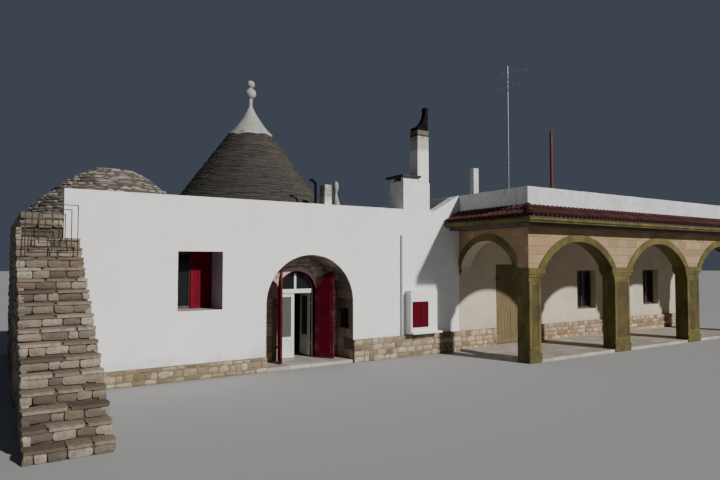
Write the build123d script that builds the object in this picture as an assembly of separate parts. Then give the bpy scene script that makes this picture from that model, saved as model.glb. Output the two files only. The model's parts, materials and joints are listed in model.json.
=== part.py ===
from build123d import *
from math import asin, atan2, cos, degrees, radians, sin
import os

os.makedirs("parts", exist_ok=True)

# A whitewashed trullo house with an arched portico wing, in millimetres.
# x runs along the street front from the left corner of the white front,
# y runs back from that front, and z runs up from the ground.

# Main block
front_length = 10560
wall_height = 3300
roof_thickness = 300
front_thickness = 1150
left_wall_thickness = 750
left_wall_setback = 350
back_thickness = 800
party_thickness = 600
floor_thickness = 80

# Parapet of the street front, with a ramp up to the wing
parapet_height = 510
parapet_thickness = 350
ramp_length = 930
ramp_rise = 510

# Deep entrance arch, with the doorway in its back wall
arch_centre = 5615
arch_radius = 1225
arch_springing = 1580
recess_depth = 850
door_width = 1150
door_springing = 1810

# Window in the street front; the other windows repeat its size
window_left = 2280
window_width = 1020
window_sill = 1530
window_height = 1330
window_frame_width = 55
window_frame_depth = 70
pane_thickness = 8

# Doors
leaf_thickness = 45
leaf_clearance = 6
leaf_floor_gap = 20
meeting_gap = 12
panel_border_width = 90
panel_recess = 12
mid_rail_height = 1150
outer_left_angle = 107
outer_right_angle = 119
inner_right_angle = 88
door_frame_width = 50
door_frame_depth = 80
door_frame_setback = 100
transom_bottom = 1800
transom_height = 110
mullion_width = 60
inner_leaf_thickness = 40
glazing_bottom = 640
stile_width = 80

# Hinges: a pin on a bracket, in an eye on a strap
pin_radius = 8
pin_clearance = 0.3
eye_radius = 16
eye_height = 40
pin_offset = 20
bracket_length = 50
bracket_height = 26
strap_thickness = 8
strap_length = 330
strap_embed = 4
seat_gap = 0.3
hinge_low = 420
hinge_high = 1480

# Stone cone, its white cap and its pinnacle
cone_x = 5240
cone_base_radius = 2670
cone_strip = 580
cone_height = 2850
cone_top_radius = 600
cone_wall = 900
inner_crown_radius = 150
cap_height = 610
cap_hollow = 55
cap_flare_parts = 5
neck_height = 210
neck_radius = 55
lower_ball_radius = 163
upper_ball_radius = 118
ball_parts = 7
waist_radius = 45
lower_ball_rise = 222

# Low rubble dome
dome_x = 1380
dome_y = 3000
dome_radii = [2100, 1780, 1400, 1120, 870, 520]
dome_heights = [0, 420, 790, 1000, 1200, 1380]
dome_wall = 720
dome_crown_wall = 420
dome_crown_rise = 50
dome_haunch = 0.7

# Chimney on the street front
chimney_to_ramp = 185
chimney_width = 945
chimney_depth = 690
chimney_height = 1310
vent_gap = 110
vent_post = 120
vent_back_post = 180
vent_slab_thickness = 60
vent_slab_overhang = 80
vent_slab_length = 650
stack_offset = 508
stack_width = 398
stack_depth = 360
stack_height = 2650
collar_height = 40
collar_overhang = 8
stack_cap_height = 125
cowl_inset = 15
cowl_height = 680
cowl_depth = 150
cowl_tip = 105
cowl_lip_height = 95
cowl_hollow_width = 190
cowl_hollow_height = 286

# Small things on the roofs
small_chimney_x = 6185
small_chimney_y = 370
small_chimney_width = 210
small_chimney_depth = 285
small_chimney_height = 1080
roof_vent_x = 5980
roof_vent_y = 500
roof_vent_radius = 35
roof_vent_height = 1180
roof_vent_arm = 170
small_pinnacle_gap = 490
small_pinnacle_y = 3600
small_pinnacle_height = 1710
small_pinnacle_radius = 300
small_pinnacle_profile = [(1, 0.35), (0.25, 0.8), (0.5, 0.87), (0.5, 0.95)]
flue_offset = 1222
flue_y = 620
flue_width = 205
flue_depth = 180
flue_top = 5620
mast_offset = 2550
mast_y = 400
mast_radius = 20
mast_top = 9120
mast_foot = 180
mast_foot_height = 20
boom_turn = -60
boom_drops = [180, 600, 740]
boom_back_reaches = [150, 60, 390]
boom_front_reaches = [650, 350, 150]
boom_width = 24
element_length = 260
element_pitch = 160
element_width = 14
roof_pipe_offset = 4675
roof_pipe_y = 400
roof_pipe_radius = 50
roof_pipe_top = 7200

# Things on the white front
cupboard_offset = 60
cupboard_width = 930
cupboard_bottom = 690
cupboard_height = 1140
cupboard_depth = 250
cupboard_shelf_height = 50
cupboard_shelf_overhang = 110
cupboard_door_inset = 50
cupboard_door_width = 550
cupboard_door_bottom = 820
cupboard_door_height = 710
cupboard_door_depth = 20
wall_pipe_gap = 150
wall_pipe_radius = 25
wall_pipe_bottom = 590
wall_pipe_top = 3380
plinth_depth = 60
plinth_left_height = 350
plinth_right_height = 590

# Stone stair at the left corner, with an iron railing panel
stair_left = -850
stair_right = 300
step_count = 17
step_depth = 275
nosing = 25
nosing_height = 60
railing_right = 190
railing_width = 900
railing_height = 1000
railing_y = -690
railing_bar = 18
railing_foot = 72
railing_frames = 4
railing_step_x = 110
railing_step_z = 90

# Portico wing
wing_depth = 2640
bay_count = 3
bay_clear = 3200
middle_pillar_width = 730
corner_pillar_width = 450
arcade_thickness = 400
pillar_height = 2230
capital_height = 240
capital_reach = 150
capital_side_reach = 100
capital_face_reach = 40
wing_wall_height = 3550
wing_roof_thickness = 300
wing_parapet_top = 4620
wing_parapet_thickness = 300
wing_wall_thickness = 500
front_arch_crown = 3190
side_arch_crown = 3220
arch_band_width = 200
arch_band_reach = 30
porch_door_offset = 1540
porch_door_width = 1200
porch_door_height = 2550
porch_hinge_high = 2100
wing_window_sill = 1000

# Tiled eave around the portico
eave_reach = 570
cornice_height = 200
tile_rise = 320

# Values worked out from the sizes above
main_depth = 2 * (cone_base_radius + cone_strip)
cone_y = main_depth / 2
roof_top = wall_height + roof_thickness
parapet_top = roof_top + parapet_height
chimney_left = front_length - ramp_length - chimney_to_ramp - chimney_width
stack_left = chimney_left + stack_offset
cupboard_left = chimney_left + cupboard_offset
wing_left = front_length
porch_door_left = wing_left + porch_door_offset
wing_length = (
    2 * corner_pillar_width
    + bay_count * bay_clear
    + (bay_count - 1) * middle_pillar_width
)
wing_right = wing_left + wing_length
wing_roof_top = wing_wall_height + wing_roof_thickness
bay_pitch = bay_clear + middle_pillar_width
bay_centres = [
    wing_left + corner_pillar_width + bay_clear / 2 + bay * bay_pitch
    for bay in range(bay_count)
]
pillar_ends = [(wing_left, wing_left + corner_pillar_width)]
for bay in range(bay_count - 1):
    pillar_face = bay_centres[bay] + bay_clear / 2
    pillar_ends.append((pillar_face, pillar_face + middle_pillar_width))
pillar_ends.append((wing_right - corner_pillar_width, wing_right))
springing_height = pillar_height + capital_height
main_inner_back = main_depth - back_thickness
party_left = front_length - party_thickness
door_left = arch_centre - door_width / 2
door_right = arch_centre + door_width / 2
door_radius = door_width / 2
leaf_bottom = floor_thickness + leaf_floor_gap
too_far = 100000


def block(x0, x1, y0, y1, z0, z1):
    """A box between two corners."""
    size = (x1 - x0, y1 - y0, z1 - z0)
    return Pos(x0, y0, z0) * Box(*size, align=(Align.MIN, Align.MIN, Align.MIN))


def upright(radius, height, x, y, z):
    """A vertical round bar standing on z."""
    bar = Cylinder(radius, height, align=(Align.CENTER, Align.CENTER, Align.MIN))
    return Pos(x, y, z) * bar


def along_y(face, y0, y1):
    """A face drawn in x and z, made solid from y0 back to y1."""
    plane = Plane(origin=(0, y1, 0), x_dir=(1, 0, 0), z_dir=(0, -1, 0))
    return extrude(plane * face, amount=y1 - y0)


def along_x(face, x0, x1):
    """A face drawn in y and z, made solid from x0 to x1."""
    plane = Plane(origin=(x0, 0, 0), x_dir=(0, 1, 0), z_dir=(1, 0, 0))
    return extrude(plane * face, amount=x1 - x0)


def outline(*points):
    """A closed face with straight sides."""
    return make_face(Polyline(*points, close=True).edges())


def arched_face(centre, half_span, base, springing, crown):
    """An opening with straight jambs and a round top."""
    left = centre - half_span
    right = centre + half_span
    jambs = Polyline((left, springing), (left, base), (right, base), (right, springing))
    top = ThreePointArc((right, springing), (centre, crown), (left, springing))
    return make_face(jambs.edges() + top.edges())


def arch_circle(half_span, springing, crown):
    """Radius and centre height of the circle through springing and crown."""
    rise = crown - springing
    radius = (rise**2 + half_span**2) / (2 * rise)
    return radius, crown - radius


def band_face(centre, half_span, springing, crown, width):
    """The face of an arch ring that stands on its springing line."""
    radius, circle_height = arch_circle(half_span, springing, crown)
    place = Pos(centre, circle_height)
    ring = place * Circle(radius + width) - place * Circle(radius)
    reach = radius + width
    above = Pos(centre, springing + reach) * Rectangle(2 * reach, 2 * reach)
    return ring & above


def filled_arch_face(centre, half_span, springing, crown, width):
    """The arch ring and all inside it, above its springing line."""
    radius, circle_height = arch_circle(half_span, springing, crown)
    reach = radius + width
    above = Pos(centre, springing + reach) * Rectangle(2 * reach, 2 * reach)
    return (Pos(centre, circle_height) * Circle(reach)) & above


def save(name, *solids):
    """Write one named piece, with the cone's axis as the origin."""
    placed = [Pos(-cone_x, -cone_y, 0) * solid for solid in solids]
    shape = placed[0] if len(placed) == 1 else Compound(children=placed)
    export_step(shape, f"parts/{name}.step")


def window_hole(x, sill, y0, y1):
    """The opening of one window."""
    return block(x, x + window_width, y0, y1, sill, sill + window_height)


def window_frame(x, sill, y0):
    """A window frame with a middle post, on its sill at x."""
    y1 = y0 + window_frame_depth
    half = window_frame_width / 2
    middle = x + window_width / 2
    frame = window_hole(x, sill, y0, y1)
    low = sill + window_frame_width
    high = sill + window_height - window_frame_width
    frame -= block(x + window_frame_width, middle - half, y0, y1, low, high)
    frame -= block(middle + half, x + window_width - window_frame_width, y0, y1, low, high)
    return frame


def window_panes(x, sill, y0):
    """The two panes of a window, face to face with its frame."""
    half = window_frame_width / 2
    middle = x + window_width / 2
    low = sill + window_frame_width
    high = sill + window_height - window_frame_width
    front = y0 + (window_frame_depth - pane_thickness) / 2
    back = front + pane_thickness
    left_pane = block(x + window_frame_width, middle - half, front, back, low, high)
    right_edge = x + window_width - window_frame_width
    right_pane = block(middle + half, right_edge, front, back, low, high)
    return [left_pane, right_pane]


# Walls of the main block

def street_front():
    """The thick white front, split beside and over the entrance."""
    arch_left = arch_centre - arch_radius
    arch_right = arch_centre + arch_radius
    left = block(0, arch_left, 0, front_thickness, 0, wall_height)
    left += block(arch_left, door_left, recess_depth, front_thickness, 0, door_springing)
    left -= window_hole(window_left, window_sill, 0, front_thickness)
    save("front_wall_left", left)

    right = block(arch_right, front_length, 0, front_thickness, 0, wall_height)
    right += block(door_right, arch_right, recess_depth, front_thickness, 0, door_springing)
    save("front_wall_right", right)

    head = block(arch_left, arch_right, 0, recess_depth, arch_springing, wall_height)
    crown = arch_springing + arch_radius
    hole = arched_face(arch_centre, arch_radius, 0, arch_springing, crown)
    save("entrance_arch", head - along_y(hole, 0, recess_depth))

    over_door = block(
        arch_left, arch_right, recess_depth, front_thickness, door_springing, wall_height
    )
    door_crown = door_springing + door_radius
    doorway = arched_face(arch_centre, door_radius, 0, door_springing, door_crown)
    save("door_arch", over_door - along_y(doorway, recess_depth, front_thickness))


def other_walls():
    """The left, back and party walls of the main block."""
    left = block(
        -left_wall_thickness, 0, left_wall_setback, main_depth, 0, wall_height
    )
    save("left_end_wall", left)
    back = block(0, front_length, main_inner_back, main_depth, 0, wall_height)
    back -= window_hole(window_left, window_sill, main_inner_back, main_depth)
    save("back_wall", back)
    party = block(party_left, front_length, front_thickness, main_inner_back, 0, wall_height)
    save("party_wall", party)


def main_slabs():
    """The floor, and the flat roof with a round hole under each stone roof."""
    arch_left = arch_centre - arch_radius
    arch_right = arch_centre + arch_radius
    floor = block(0, party_left, front_thickness, main_inner_back, 0, floor_thickness)
    floor += block(door_left, door_right, recess_depth, front_thickness, 0, floor_thickness)
    floor += block(arch_left, arch_right, 0, recess_depth, 0, floor_thickness)
    save("main_floor", floor)

    roof = block(0, front_length, 0, main_depth, wall_height, roof_top)
    roof += block(
        -left_wall_thickness, 0, left_wall_setback, main_depth, wall_height, roof_top
    )
    roof -= upright(cone_base_radius - cone_wall, roof_thickness, cone_x, cone_y, wall_height)
    roof -= upright(dome_radii[0] - dome_wall, roof_thickness, dome_x, dome_y, wall_height)
    save("main_roof", roof)


def front_parapet():
    """The parapet, on both sides of the chimney, with its ramp."""
    ramp_start = front_length - ramp_length
    chimney_right = chimney_left + chimney_width
    left = block(0, chimney_left, 0, parapet_thickness, roof_top, parapet_top)
    slope = outline(
        (chimney_right, roof_top),
        (front_length, roof_top),
        (front_length, parapet_top + ramp_rise),
        (ramp_start, parapet_top),
        (chimney_right, parapet_top),
    )
    save("front_parapet", left, along_y(slope, 0, parapet_thickness))


def plinth():
    """Rubble plinth along the foot of the front and of the portico's back wall."""
    left = block(stair_right, arch_centre - arch_radius, -plinth_depth, 0, 0, plinth_left_height)
    right = block(
        arch_centre + arch_radius, wing_left + corner_pillar_width,
        -plinth_depth, 0, 0, plinth_right_height,
    )
    porch_left = block(
        wing_left + corner_pillar_width, porch_door_left - plinth_depth,
        -plinth_depth, 0, 0, plinth_right_height,
    )
    porch_right = block(
        porch_door_left + porch_door_width + bracket_length + plinth_depth, wing_right,
        -plinth_depth, 0, 0, plinth_right_height,
    )
    save("stone_plinth", left, right + porch_left, porch_right)


# Stone roofs

def ball_outline(radius, centre, low, high, parts):
    """Points of a turned ball's outline, between two angles from its lowest point."""
    angles = [radians(low + (high - low) * part / parts) for part in range(parts + 1)]
    return [(radius * sin(angle), centre - radius * cos(angle)) for angle in angles]


def trullo_cone():
    """The hollow cone of dry stone, its white cap and the pinnacle."""
    taper = (cone_base_radius - cone_top_radius) / cone_height
    inner_base = cone_base_radius - cone_wall
    inner_height = (inner_base - inner_crown_radius) / taper
    section = outline(
        (inner_base, 0),
        (cone_base_radius, 0),
        (cone_top_radius, cone_height),
        (0, cone_height),
        (0, inner_height),
        (inner_crown_radius, inner_height),
    )
    cone = revolve(Plane.XZ * section, Axis.Z)
    save("trullo_cone", Pos(cone_x, cone_y, roof_top) * cone)

    cap_base = roof_top + cone_height
    top = cap_height + neck_height
    flare = []
    for part in range(cap_flare_parts + 1):
        share = part / cap_flare_parts
        straight = cone_top_radius + (neck_radius - cone_top_radius) * share
        flare.append((straight - cap_hollow * sin(radians(180 * share)), top * share))
    cap = revolve(Plane.XZ * outline((0, 0), *flare, (0, top)), Axis.Z)
    save("cone_cap", Pos(cone_x, cone_y, cap_base) * cap)

    lower_centre = lower_ball_rise + lower_ball_radius
    waist = lower_centre + lower_ball_radius
    upper_centre = waist + upper_ball_radius
    foot_angle = degrees(asin(neck_radius / lower_ball_radius))
    section = outline(
        (0, 0),
        (neck_radius, 0),
        *ball_outline(lower_ball_radius, lower_centre, foot_angle, 180 - foot_angle, ball_parts),
        (waist_radius, waist),
        *ball_outline(upper_ball_radius, upper_centre, 2 * foot_angle, 180, ball_parts),
    )
    pinnacle = revolve(Plane.XZ * section, Axis.Z)
    save("pinnacle", Pos(cone_x, cone_y, cap_base + top) * pinnacle)


def low_dome():
    """The low rubble dome, hollow like the cone."""
    outer = list(zip(dome_radii, dome_heights))
    inner_base = dome_radii[0] - dome_wall
    inner_crown = dome_heights[-1] - dome_crown_wall
    crown = (0, dome_heights[-1] + dome_crown_rise)
    section = outline(
        (0, inner_crown),
        crown,
        *reversed(outer),
        (inner_base, 0),
        (inner_base * dome_haunch, inner_crown * dome_haunch),
        (inner_base * (1 - dome_haunch), inner_crown),
    )
    dome = Pos(dome_x, dome_y, roof_top) * revolve(Plane.XZ * section, Axis.Z)
    taper = degrees(atan2(cone_base_radius - cone_top_radius, cone_height))
    touch = cone_x - cone_base_radius - seat_gap
    reach = dome_radii[0]
    valley = Pos(touch, dome_y, roof_top) * Rot(0, taper, 0) * block(
        0, 2 * reach, -reach, reach, -reach, 2 * reach
    )
    save("low_dome", dome - valley)


# Chimneys and small things on the roofs

def chimney():
    """The chimney flush with the front: vented block, tall stack, cap and cowl."""
    right = chimney_left + chimney_width
    block_top = roof_top + chimney_height
    slab_base = block_top + vent_gap
    base = block(chimney_left, right, 0, chimney_depth, roof_top, block_top)
    vents = block(chimney_left, stack_left, 0, chimney_depth, block_top, slab_base)
    vents_right = stack_left - vent_post
    vents -= block(
        chimney_left, vents_right, vent_post, chimney_depth - vent_back_post,
        block_top, slab_base,
    )
    vents -= block(
        chimney_left + vent_post, vents_right, vent_post, chimney_depth, block_top, slab_base
    )
    save("chimney_block", base + vents)

    stack_right = stack_left + stack_width
    stack_top = roof_top + stack_height
    stack = block(stack_left, stack_right, 0, stack_depth, block_top, stack_top)
    save("chimney_stack", stack)

    slab_left = chimney_left - vent_slab_overhang
    slab = block(
        slab_left, slab_left + vent_slab_length,
        -vent_slab_overhang, chimney_depth + vent_slab_overhang,
        slab_base, slab_base + vent_slab_thickness,
    )
    slab -= block(
        stack_left, too_far, 0, stack_depth, slab_base, slab_base + vent_slab_thickness
    )
    collar = block(
        stack_left - collar_overhang, stack_right + collar_overhang,
        -collar_overhang, stack_depth + collar_overhang,
        stack_top, stack_top + collar_height,
    )
    cap_top = stack_top + collar_height + stack_cap_height
    collar += block(stack_left, stack_right, 0, stack_depth, stack_top + collar_height, cap_top)
    save("chimney_slabs", slab, collar)

    cowl_left = stack_left + cowl_inset
    cowl_right = stack_right - cowl_inset
    lip_top = cap_top + cowl_lip_height
    tip_top = cap_top + cowl_height
    hollow = (cowl_left + cowl_hollow_width, cap_top + cowl_hollow_height)
    edges = Polyline(
        (cowl_left, lip_top),
        (cowl_left, cap_top),
        (cowl_right, cap_top),
        (cowl_right, tip_top),
        (cowl_right - cowl_tip, tip_top),
    ).edges()
    edges += ThreePointArc((cowl_right - cowl_tip, tip_top), hollow, (cowl_left, lip_top)).edges()
    cowl = along_y(make_face(edges), cowl_inset, cowl_inset + cowl_depth)
    cowl += block(
        cowl_left, cowl_right, cowl_inset, stack_depth - cowl_inset, cap_top, lip_top
    )
    save("chimney_cowl", cowl)


def roof_things():
    """The small chimney, vent pipe and pinnacle behind the parapet."""
    x, y = small_chimney_x, small_chimney_y
    small = block(
        x, x + small_chimney_width, y, y + small_chimney_depth,
        roof_top, roof_top + small_chimney_height,
    )
    save("small_chimney", small)

    path_top = roof_top + roof_vent_height
    turn = roof_vent_arm / 2
    line = Polyline(
        (roof_vent_x, roof_vent_y, roof_top),
        (roof_vent_x, roof_vent_y, path_top - turn),
        (roof_vent_x - turn, roof_vent_y, path_top),
        (roof_vent_x - roof_vent_arm, roof_vent_y, path_top),
    )
    start = Plane(origin=line @ 0, z_dir=line % 0)
    pipe = sweep(start * Circle(roof_vent_radius), path=line, transition=Transition.RIGHT)
    save("roof_vent", pipe)

    profile = [
        (small_pinnacle_radius * wide, small_pinnacle_height * high)
        for wide, high in small_pinnacle_profile
    ]
    section = outline((0, 0), (small_pinnacle_radius, 0), *profile, (0, small_pinnacle_height))
    spire = revolve(Plane.XZ * section, Axis.Z)
    spire_x = cone_x + cone_base_radius + small_pinnacle_gap
    save("small_pinnacle", Pos(spire_x, small_pinnacle_y, roof_top) * spire)


def wing_roof_things():
    """The flue, the aerial mast and the steel pipe on the wing's flat roof."""
    flue_x = wing_left + flue_offset
    flue = block(
        flue_x - flue_width / 2, flue_x + flue_width / 2,
        flue_y - flue_depth / 2, flue_y + flue_depth / 2,
        wing_roof_top, flue_top,
    )
    save("flue_stub", flue)

    foot = mast_foot / 2
    booms = block(-foot, foot, -foot, foot, wing_roof_top, wing_roof_top + mast_foot_height)
    half = boom_width / 2
    reach = element_length / 2
    for drop, back, front in zip(boom_drops, boom_back_reaches, boom_front_reaches):
        top = mast_top - drop
        booms += block(-back, front, -half, half, top - boom_width, top)
        low = top - (boom_width + element_width) / 2
        for part in range(int((back + front) / element_pitch) + 1):
            x = front - element_width - part * element_pitch
            booms += block(x, x + element_width, -reach, reach, low, low + element_width)
    mast_x = wing_left + mast_offset
    mast = Pos(mast_x, mast_y, 0) * Rot(0, 0, boom_turn) * booms
    mast += upright(mast_radius, mast_top - wing_roof_top, mast_x, mast_y, wing_roof_top)
    save("aerial_mast", mast)

    height = roof_pipe_top - wing_roof_top
    pipe_x = wing_left + roof_pipe_offset
    pipe = upright(roof_pipe_radius, height, pipe_x, roof_pipe_y, wing_roof_top)
    save("roof_pipe", pipe)


# Windows, shutter, cupboard and wall pipe

def fanlight_face():
    """The round-topped light over the transom of the inner door."""
    radius = door_radius - door_frame_width
    transom_top = transom_bottom + transom_height
    above = Pos(arch_centre, transom_top + radius) * Rectangle(2 * radius, 2 * radius)
    return (Pos(arch_centre, door_springing) * Circle(radius)) & above


def windows():
    """The frames and panes of every window, and the shutter in the front."""
    places = [(window_left, window_sill, recess_depth), (window_left, window_sill, main_inner_back)]
    for centre in bay_centres[1:]:
        x = centre - window_width / 2
        front = (wing_wall_thickness - window_frame_depth) / 2
        back = main_depth - wing_wall_thickness + front
        places += [(x, wing_window_sill, front), (x, wing_window_sill, back)]
    frames = [window_frame(*place) for place in places]
    panes = [pane for place in places for pane in window_panes(*place)]
    save("window_frames", *frames)

    door_crown = door_springing + door_radius
    middle = recess_depth + door_frame_setback + (door_frame_depth - pane_thickness) / 2
    fan = along_y(fanlight_face(), middle, middle + pane_thickness)
    half = mullion_width / 2
    fan -= block(arch_centre - half, arch_centre + half, 0, front_thickness, 0, door_crown)
    save("window_panes", *panes, *fan.solids())

    half_width = window_width / 2
    board = block(
        window_left + half_width, window_left + window_width - seat_gap,
        recess_depth - leaf_thickness, recess_depth,
        window_sill + seat_gap, window_sill + window_height - seat_gap,
    )
    inset = panel_border_width
    board -= block(
        window_left + half_width + inset, window_left + window_width - inset,
        recess_depth - leaf_thickness, recess_depth - leaf_thickness + panel_recess,
        window_sill + inset, window_sill + window_height - inset,
    )
    save("window_shutter", board)


def front_cupboard():
    """The white masonry cupboard on the front, its shelf and its red door."""
    right = cupboard_left + cupboard_width
    top = cupboard_bottom + cupboard_height
    body = block(cupboard_left, right, -cupboard_depth, 0, cupboard_bottom, top)
    body += block(
        cupboard_left, right + cupboard_shelf_overhang,
        -cupboard_depth - cupboard_shelf_overhang, 0,
        cupboard_bottom - cupboard_shelf_height, cupboard_bottom,
    )
    save("wall_cupboard", body)
    door_edge = cupboard_left + cupboard_door_inset
    door = block(
        door_edge, door_edge + cupboard_door_width,
        -cupboard_depth - cupboard_door_depth, -cupboard_depth,
        cupboard_door_bottom, cupboard_door_bottom + cupboard_door_height,
    )
    save("cupboard_door", door)
    height = wall_pipe_top - wall_pipe_bottom
    pipe_x = cupboard_left - wall_pipe_gap
    pipe = upright(wall_pipe_radius, height, pipe_x, -wall_pipe_radius, wall_pipe_bottom)
    save("wall_pipe", pipe)


# Doors

def eyes_and_straps(axis_x, face_y, side, heights, length):
    """Hinge straps on the front of a closed leaf, each with its eye, and their bores."""
    straps = None
    bores = None
    axis_y = face_y - pin_offset
    for height in heights:
        eye = upright(eye_radius, eye_height, axis_x, axis_y, height)
        x0, x1 = sorted((axis_x + side * leaf_clearance, axis_x + side * length))
        strap = block(
            x0, x1, face_y - strap_thickness, face_y + strap_embed, height, height + eye_height
        )
        x0, x1 = sorted((axis_x, axis_x + side * eye_radius))
        arm = block(x0, x1, axis_y, face_y - strap_embed, height, height + eye_height)
        bore = upright(pin_radius + pin_clearance, eye_height, axis_x, axis_y, height)
        straps = eye + strap + arm if straps is None else straps + eye + strap + arm
        bores = bore if bores is None else bores + bore
    return straps, bores


def pin_bracket(axis_x, face_y, side, height, length):
    """A bracket on the wall beside the opening, with its upright pin."""
    top = height - seat_gap
    axis_y = face_y - pin_offset
    x0, x1 = sorted((axis_x - side * length, axis_x + side * pin_radius))
    bracket = block(x0, x1, axis_y - pin_radius, face_y, top - bracket_height, top)
    return bracket + upright(pin_radius, eye_height + seat_gap, axis_x, axis_y, top)


def turned(leaf, axis_x, axis_y, angle):
    """A leaf turned about its upright hinge line."""
    place = Pos(axis_x, axis_y, 0)
    return place * Rot(0, 0, angle) * place.inverse() * leaf


def panelled(leaf, x0, x1, y0, y1, z_ranges):
    """Sunk panels on both faces of a leaf."""
    for low, high in z_ranges:
        leaf -= block(x0, x1, y0, y0 + panel_recess, low, high)
        leaf -= block(x0, x1, y1 - panel_recess, y1, low, high)
    return leaf


def outer_door():
    """Two red leaves with round tops that open out into the recess."""
    face = recess_depth
    back = face + leaf_thickness
    crown = door_springing + door_radius - leaf_clearance
    radius = door_radius - leaf_clearance
    half_gap = meeting_gap / 2
    rails = mid_rail_height - panel_border_width / 2, mid_rail_height + panel_border_width / 2
    z_ranges = [(leaf_bottom + panel_border_width, rails[0]), (rails[1], door_springing)]
    whole = along_y(arched_face(arch_centre, radius, leaf_bottom, door_springing, crown), face, back)
    ranges = {
        "left": (door_left, 1, -outer_left_angle),
        "right": (door_right, -1, outer_right_angle),
    }
    for name, (jamb, side, angle) in ranges.items():
        edge = arch_centre - side * half_gap
        x0, x1 = sorted((jamb, edge))
        leaf = whole & block(x0, x1, face, back, 0, crown)
        panel_a = jamb + side * (leaf_clearance + panel_border_width)
        panel_b = edge - side * panel_border_width
        leaf = panelled(leaf, *sorted((panel_a, panel_b)), face, back, z_ranges)
        straps, bores = eyes_and_straps(jamb, face, side, (hinge_low, hinge_high), strap_length)
        leaf = leaf + straps - bores
        save(f"outer_leaf_{name}", turned(leaf, jamb, face - pin_offset, angle))


def inner_door():
    """A white frame with transom and fanlight, and two glazed leaves that open inwards."""
    y0 = recess_depth + door_frame_setback
    y1 = y0 + door_frame_depth
    crown = door_springing + door_radius
    half = mullion_width / 2
    transom_top = transom_bottom + transom_height
    whole = arched_face(arch_centre, door_radius, floor_thickness, door_springing, crown)
    light_radius = door_radius - door_frame_width
    light = fanlight_face()
    doorway = Pos(arch_centre, transom_bottom / 2) * Rectangle(2 * light_radius, transom_bottom)
    frame = along_y(whole - doorway - light, y0, y1)
    frame += along_y(light, y0, y1) & block(
        arch_centre - half, arch_centre + half, y0, y1, transom_top, crown
    )
    save("inner_door_frame", frame)

    leaf_top = transom_bottom - leaf_clearance
    half_gap = meeting_gap / 2
    for name, side, angle in (("left", 1, 0), ("right", -1, -inner_right_angle)):
        jamb = arch_centre - side * light_radius
        outer_edge = jamb + side * leaf_clearance
        edge = arch_centre - side * half_gap
        x0, x1 = sorted((outer_edge, edge))
        front = y1 - inner_leaf_thickness
        leaf = block(x0, x1, front, y1, leaf_bottom, leaf_top)
        glass_x = x0 + stile_width, x1 - stile_width
        glass_z = glazing_bottom, leaf_top - stile_width
        leaf -= block(*glass_x, front, y1, *glass_z)
        leaf = panelled(
            leaf, *glass_x, front, y1, [(leaf_bottom + stile_width, glazing_bottom - stile_width)]
        )
        leaf = mirrored_hinges(leaf, jamb, y1, side)
        pane_front = front + (inner_leaf_thickness - pane_thickness) / 2
        pane = block(*glass_x, pane_front, pane_front + pane_thickness, *glass_z)
        axis_y = y1 + pin_offset
        save(f"inner_leaf_{name}", turned(leaf, jamb, axis_y, angle))
        save(f"inner_pane_{name}", turned(pane, jamb, axis_y, angle))


def mirrored_hinges(leaf, axis_x, face_y, side):
    """Hinges on the room side of a leaf."""
    plane = Plane(origin=(0, face_y, 0), z_dir=(0, 1, 0))
    straps, bores = eyes_and_straps(axis_x, face_y, side, (hinge_low, hinge_high), stile_width)
    return leaf + straps.mirror(plane) - bores.mirror(plane)


def hinge_pins():
    """Every fixed bracket and pin of the six leaves."""
    pins = []
    for height in (hinge_low, hinge_high):
        pins.append(pin_bracket(door_left, recess_depth, 1, height, bracket_length))
        pins.append(pin_bracket(door_right, recess_depth, -1, height, bracket_length))
        face = recess_depth + door_frame_setback + door_frame_depth
        plane = Plane(origin=(0, face, 0), z_dir=(0, 1, 0))
        light_radius = door_radius - door_frame_width
        for side in (1, -1):
            jamb = arch_centre - side * light_radius
            bracket = pin_bracket(jamb, face, side, height, door_frame_width)
            pins.append(bracket.mirror(plane))
    for height in (hinge_low, porch_hinge_high):
        pins.append(pin_bracket(porch_door_left, 0, 1, height, bracket_length))
        right = porch_door_left + porch_door_width
        pins.append(pin_bracket(right, 0, -1, height, bracket_length))
    save("hinge_pins", *pins)


def porch_door():
    """The brown wooden door under the portico, in two leaves that open outwards."""
    right = porch_door_left + porch_door_width
    middle = (porch_door_left + right) / 2
    top = porch_door_height - leaf_clearance
    heights = (hinge_low, porch_hinge_high)
    half_gap = meeting_gap / 2
    for name, jamb, side in (("left", porch_door_left, 1), ("right", right, -1)):
        edge = middle - side * half_gap
        x0, x1 = sorted((jamb + side * leaf_clearance, edge))
        leaf = block(x0, x1, 0, leaf_thickness, leaf_bottom, top)
        z_ranges = [
            (leaf_bottom + panel_border_width, mid_rail_height - panel_border_width / 2),
            (mid_rail_height + panel_border_width / 2, top - panel_border_width),
        ]
        panel_x = x0 + panel_border_width, x1 - panel_border_width
        leaf = panelled(leaf, *panel_x, 0, leaf_thickness, z_ranges)
        straps, bores = eyes_and_straps(jamb, 0, side, heights, strap_length)
        save(f"porch_leaf_{name}", leaf + straps - bores)


# Stair and railing

def stair():
    """The stone stair to the roof, with a nosing slab on every step."""
    rise = wall_height / step_count
    steps = block(stair_left, 0, 0, left_wall_setback, 0, wall_height)
    for step in range(1, step_count):
        y0 = (step - step_count) * step_depth
        top = step * rise
        steps += block(stair_left, stair_right, y0, 0, 0, top)
        edge = y0 - nosing
        steps += block(stair_left, stair_right, edge, edge + step_depth, top - nosing_height, top)
    save("roof_stair", steps)


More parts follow.
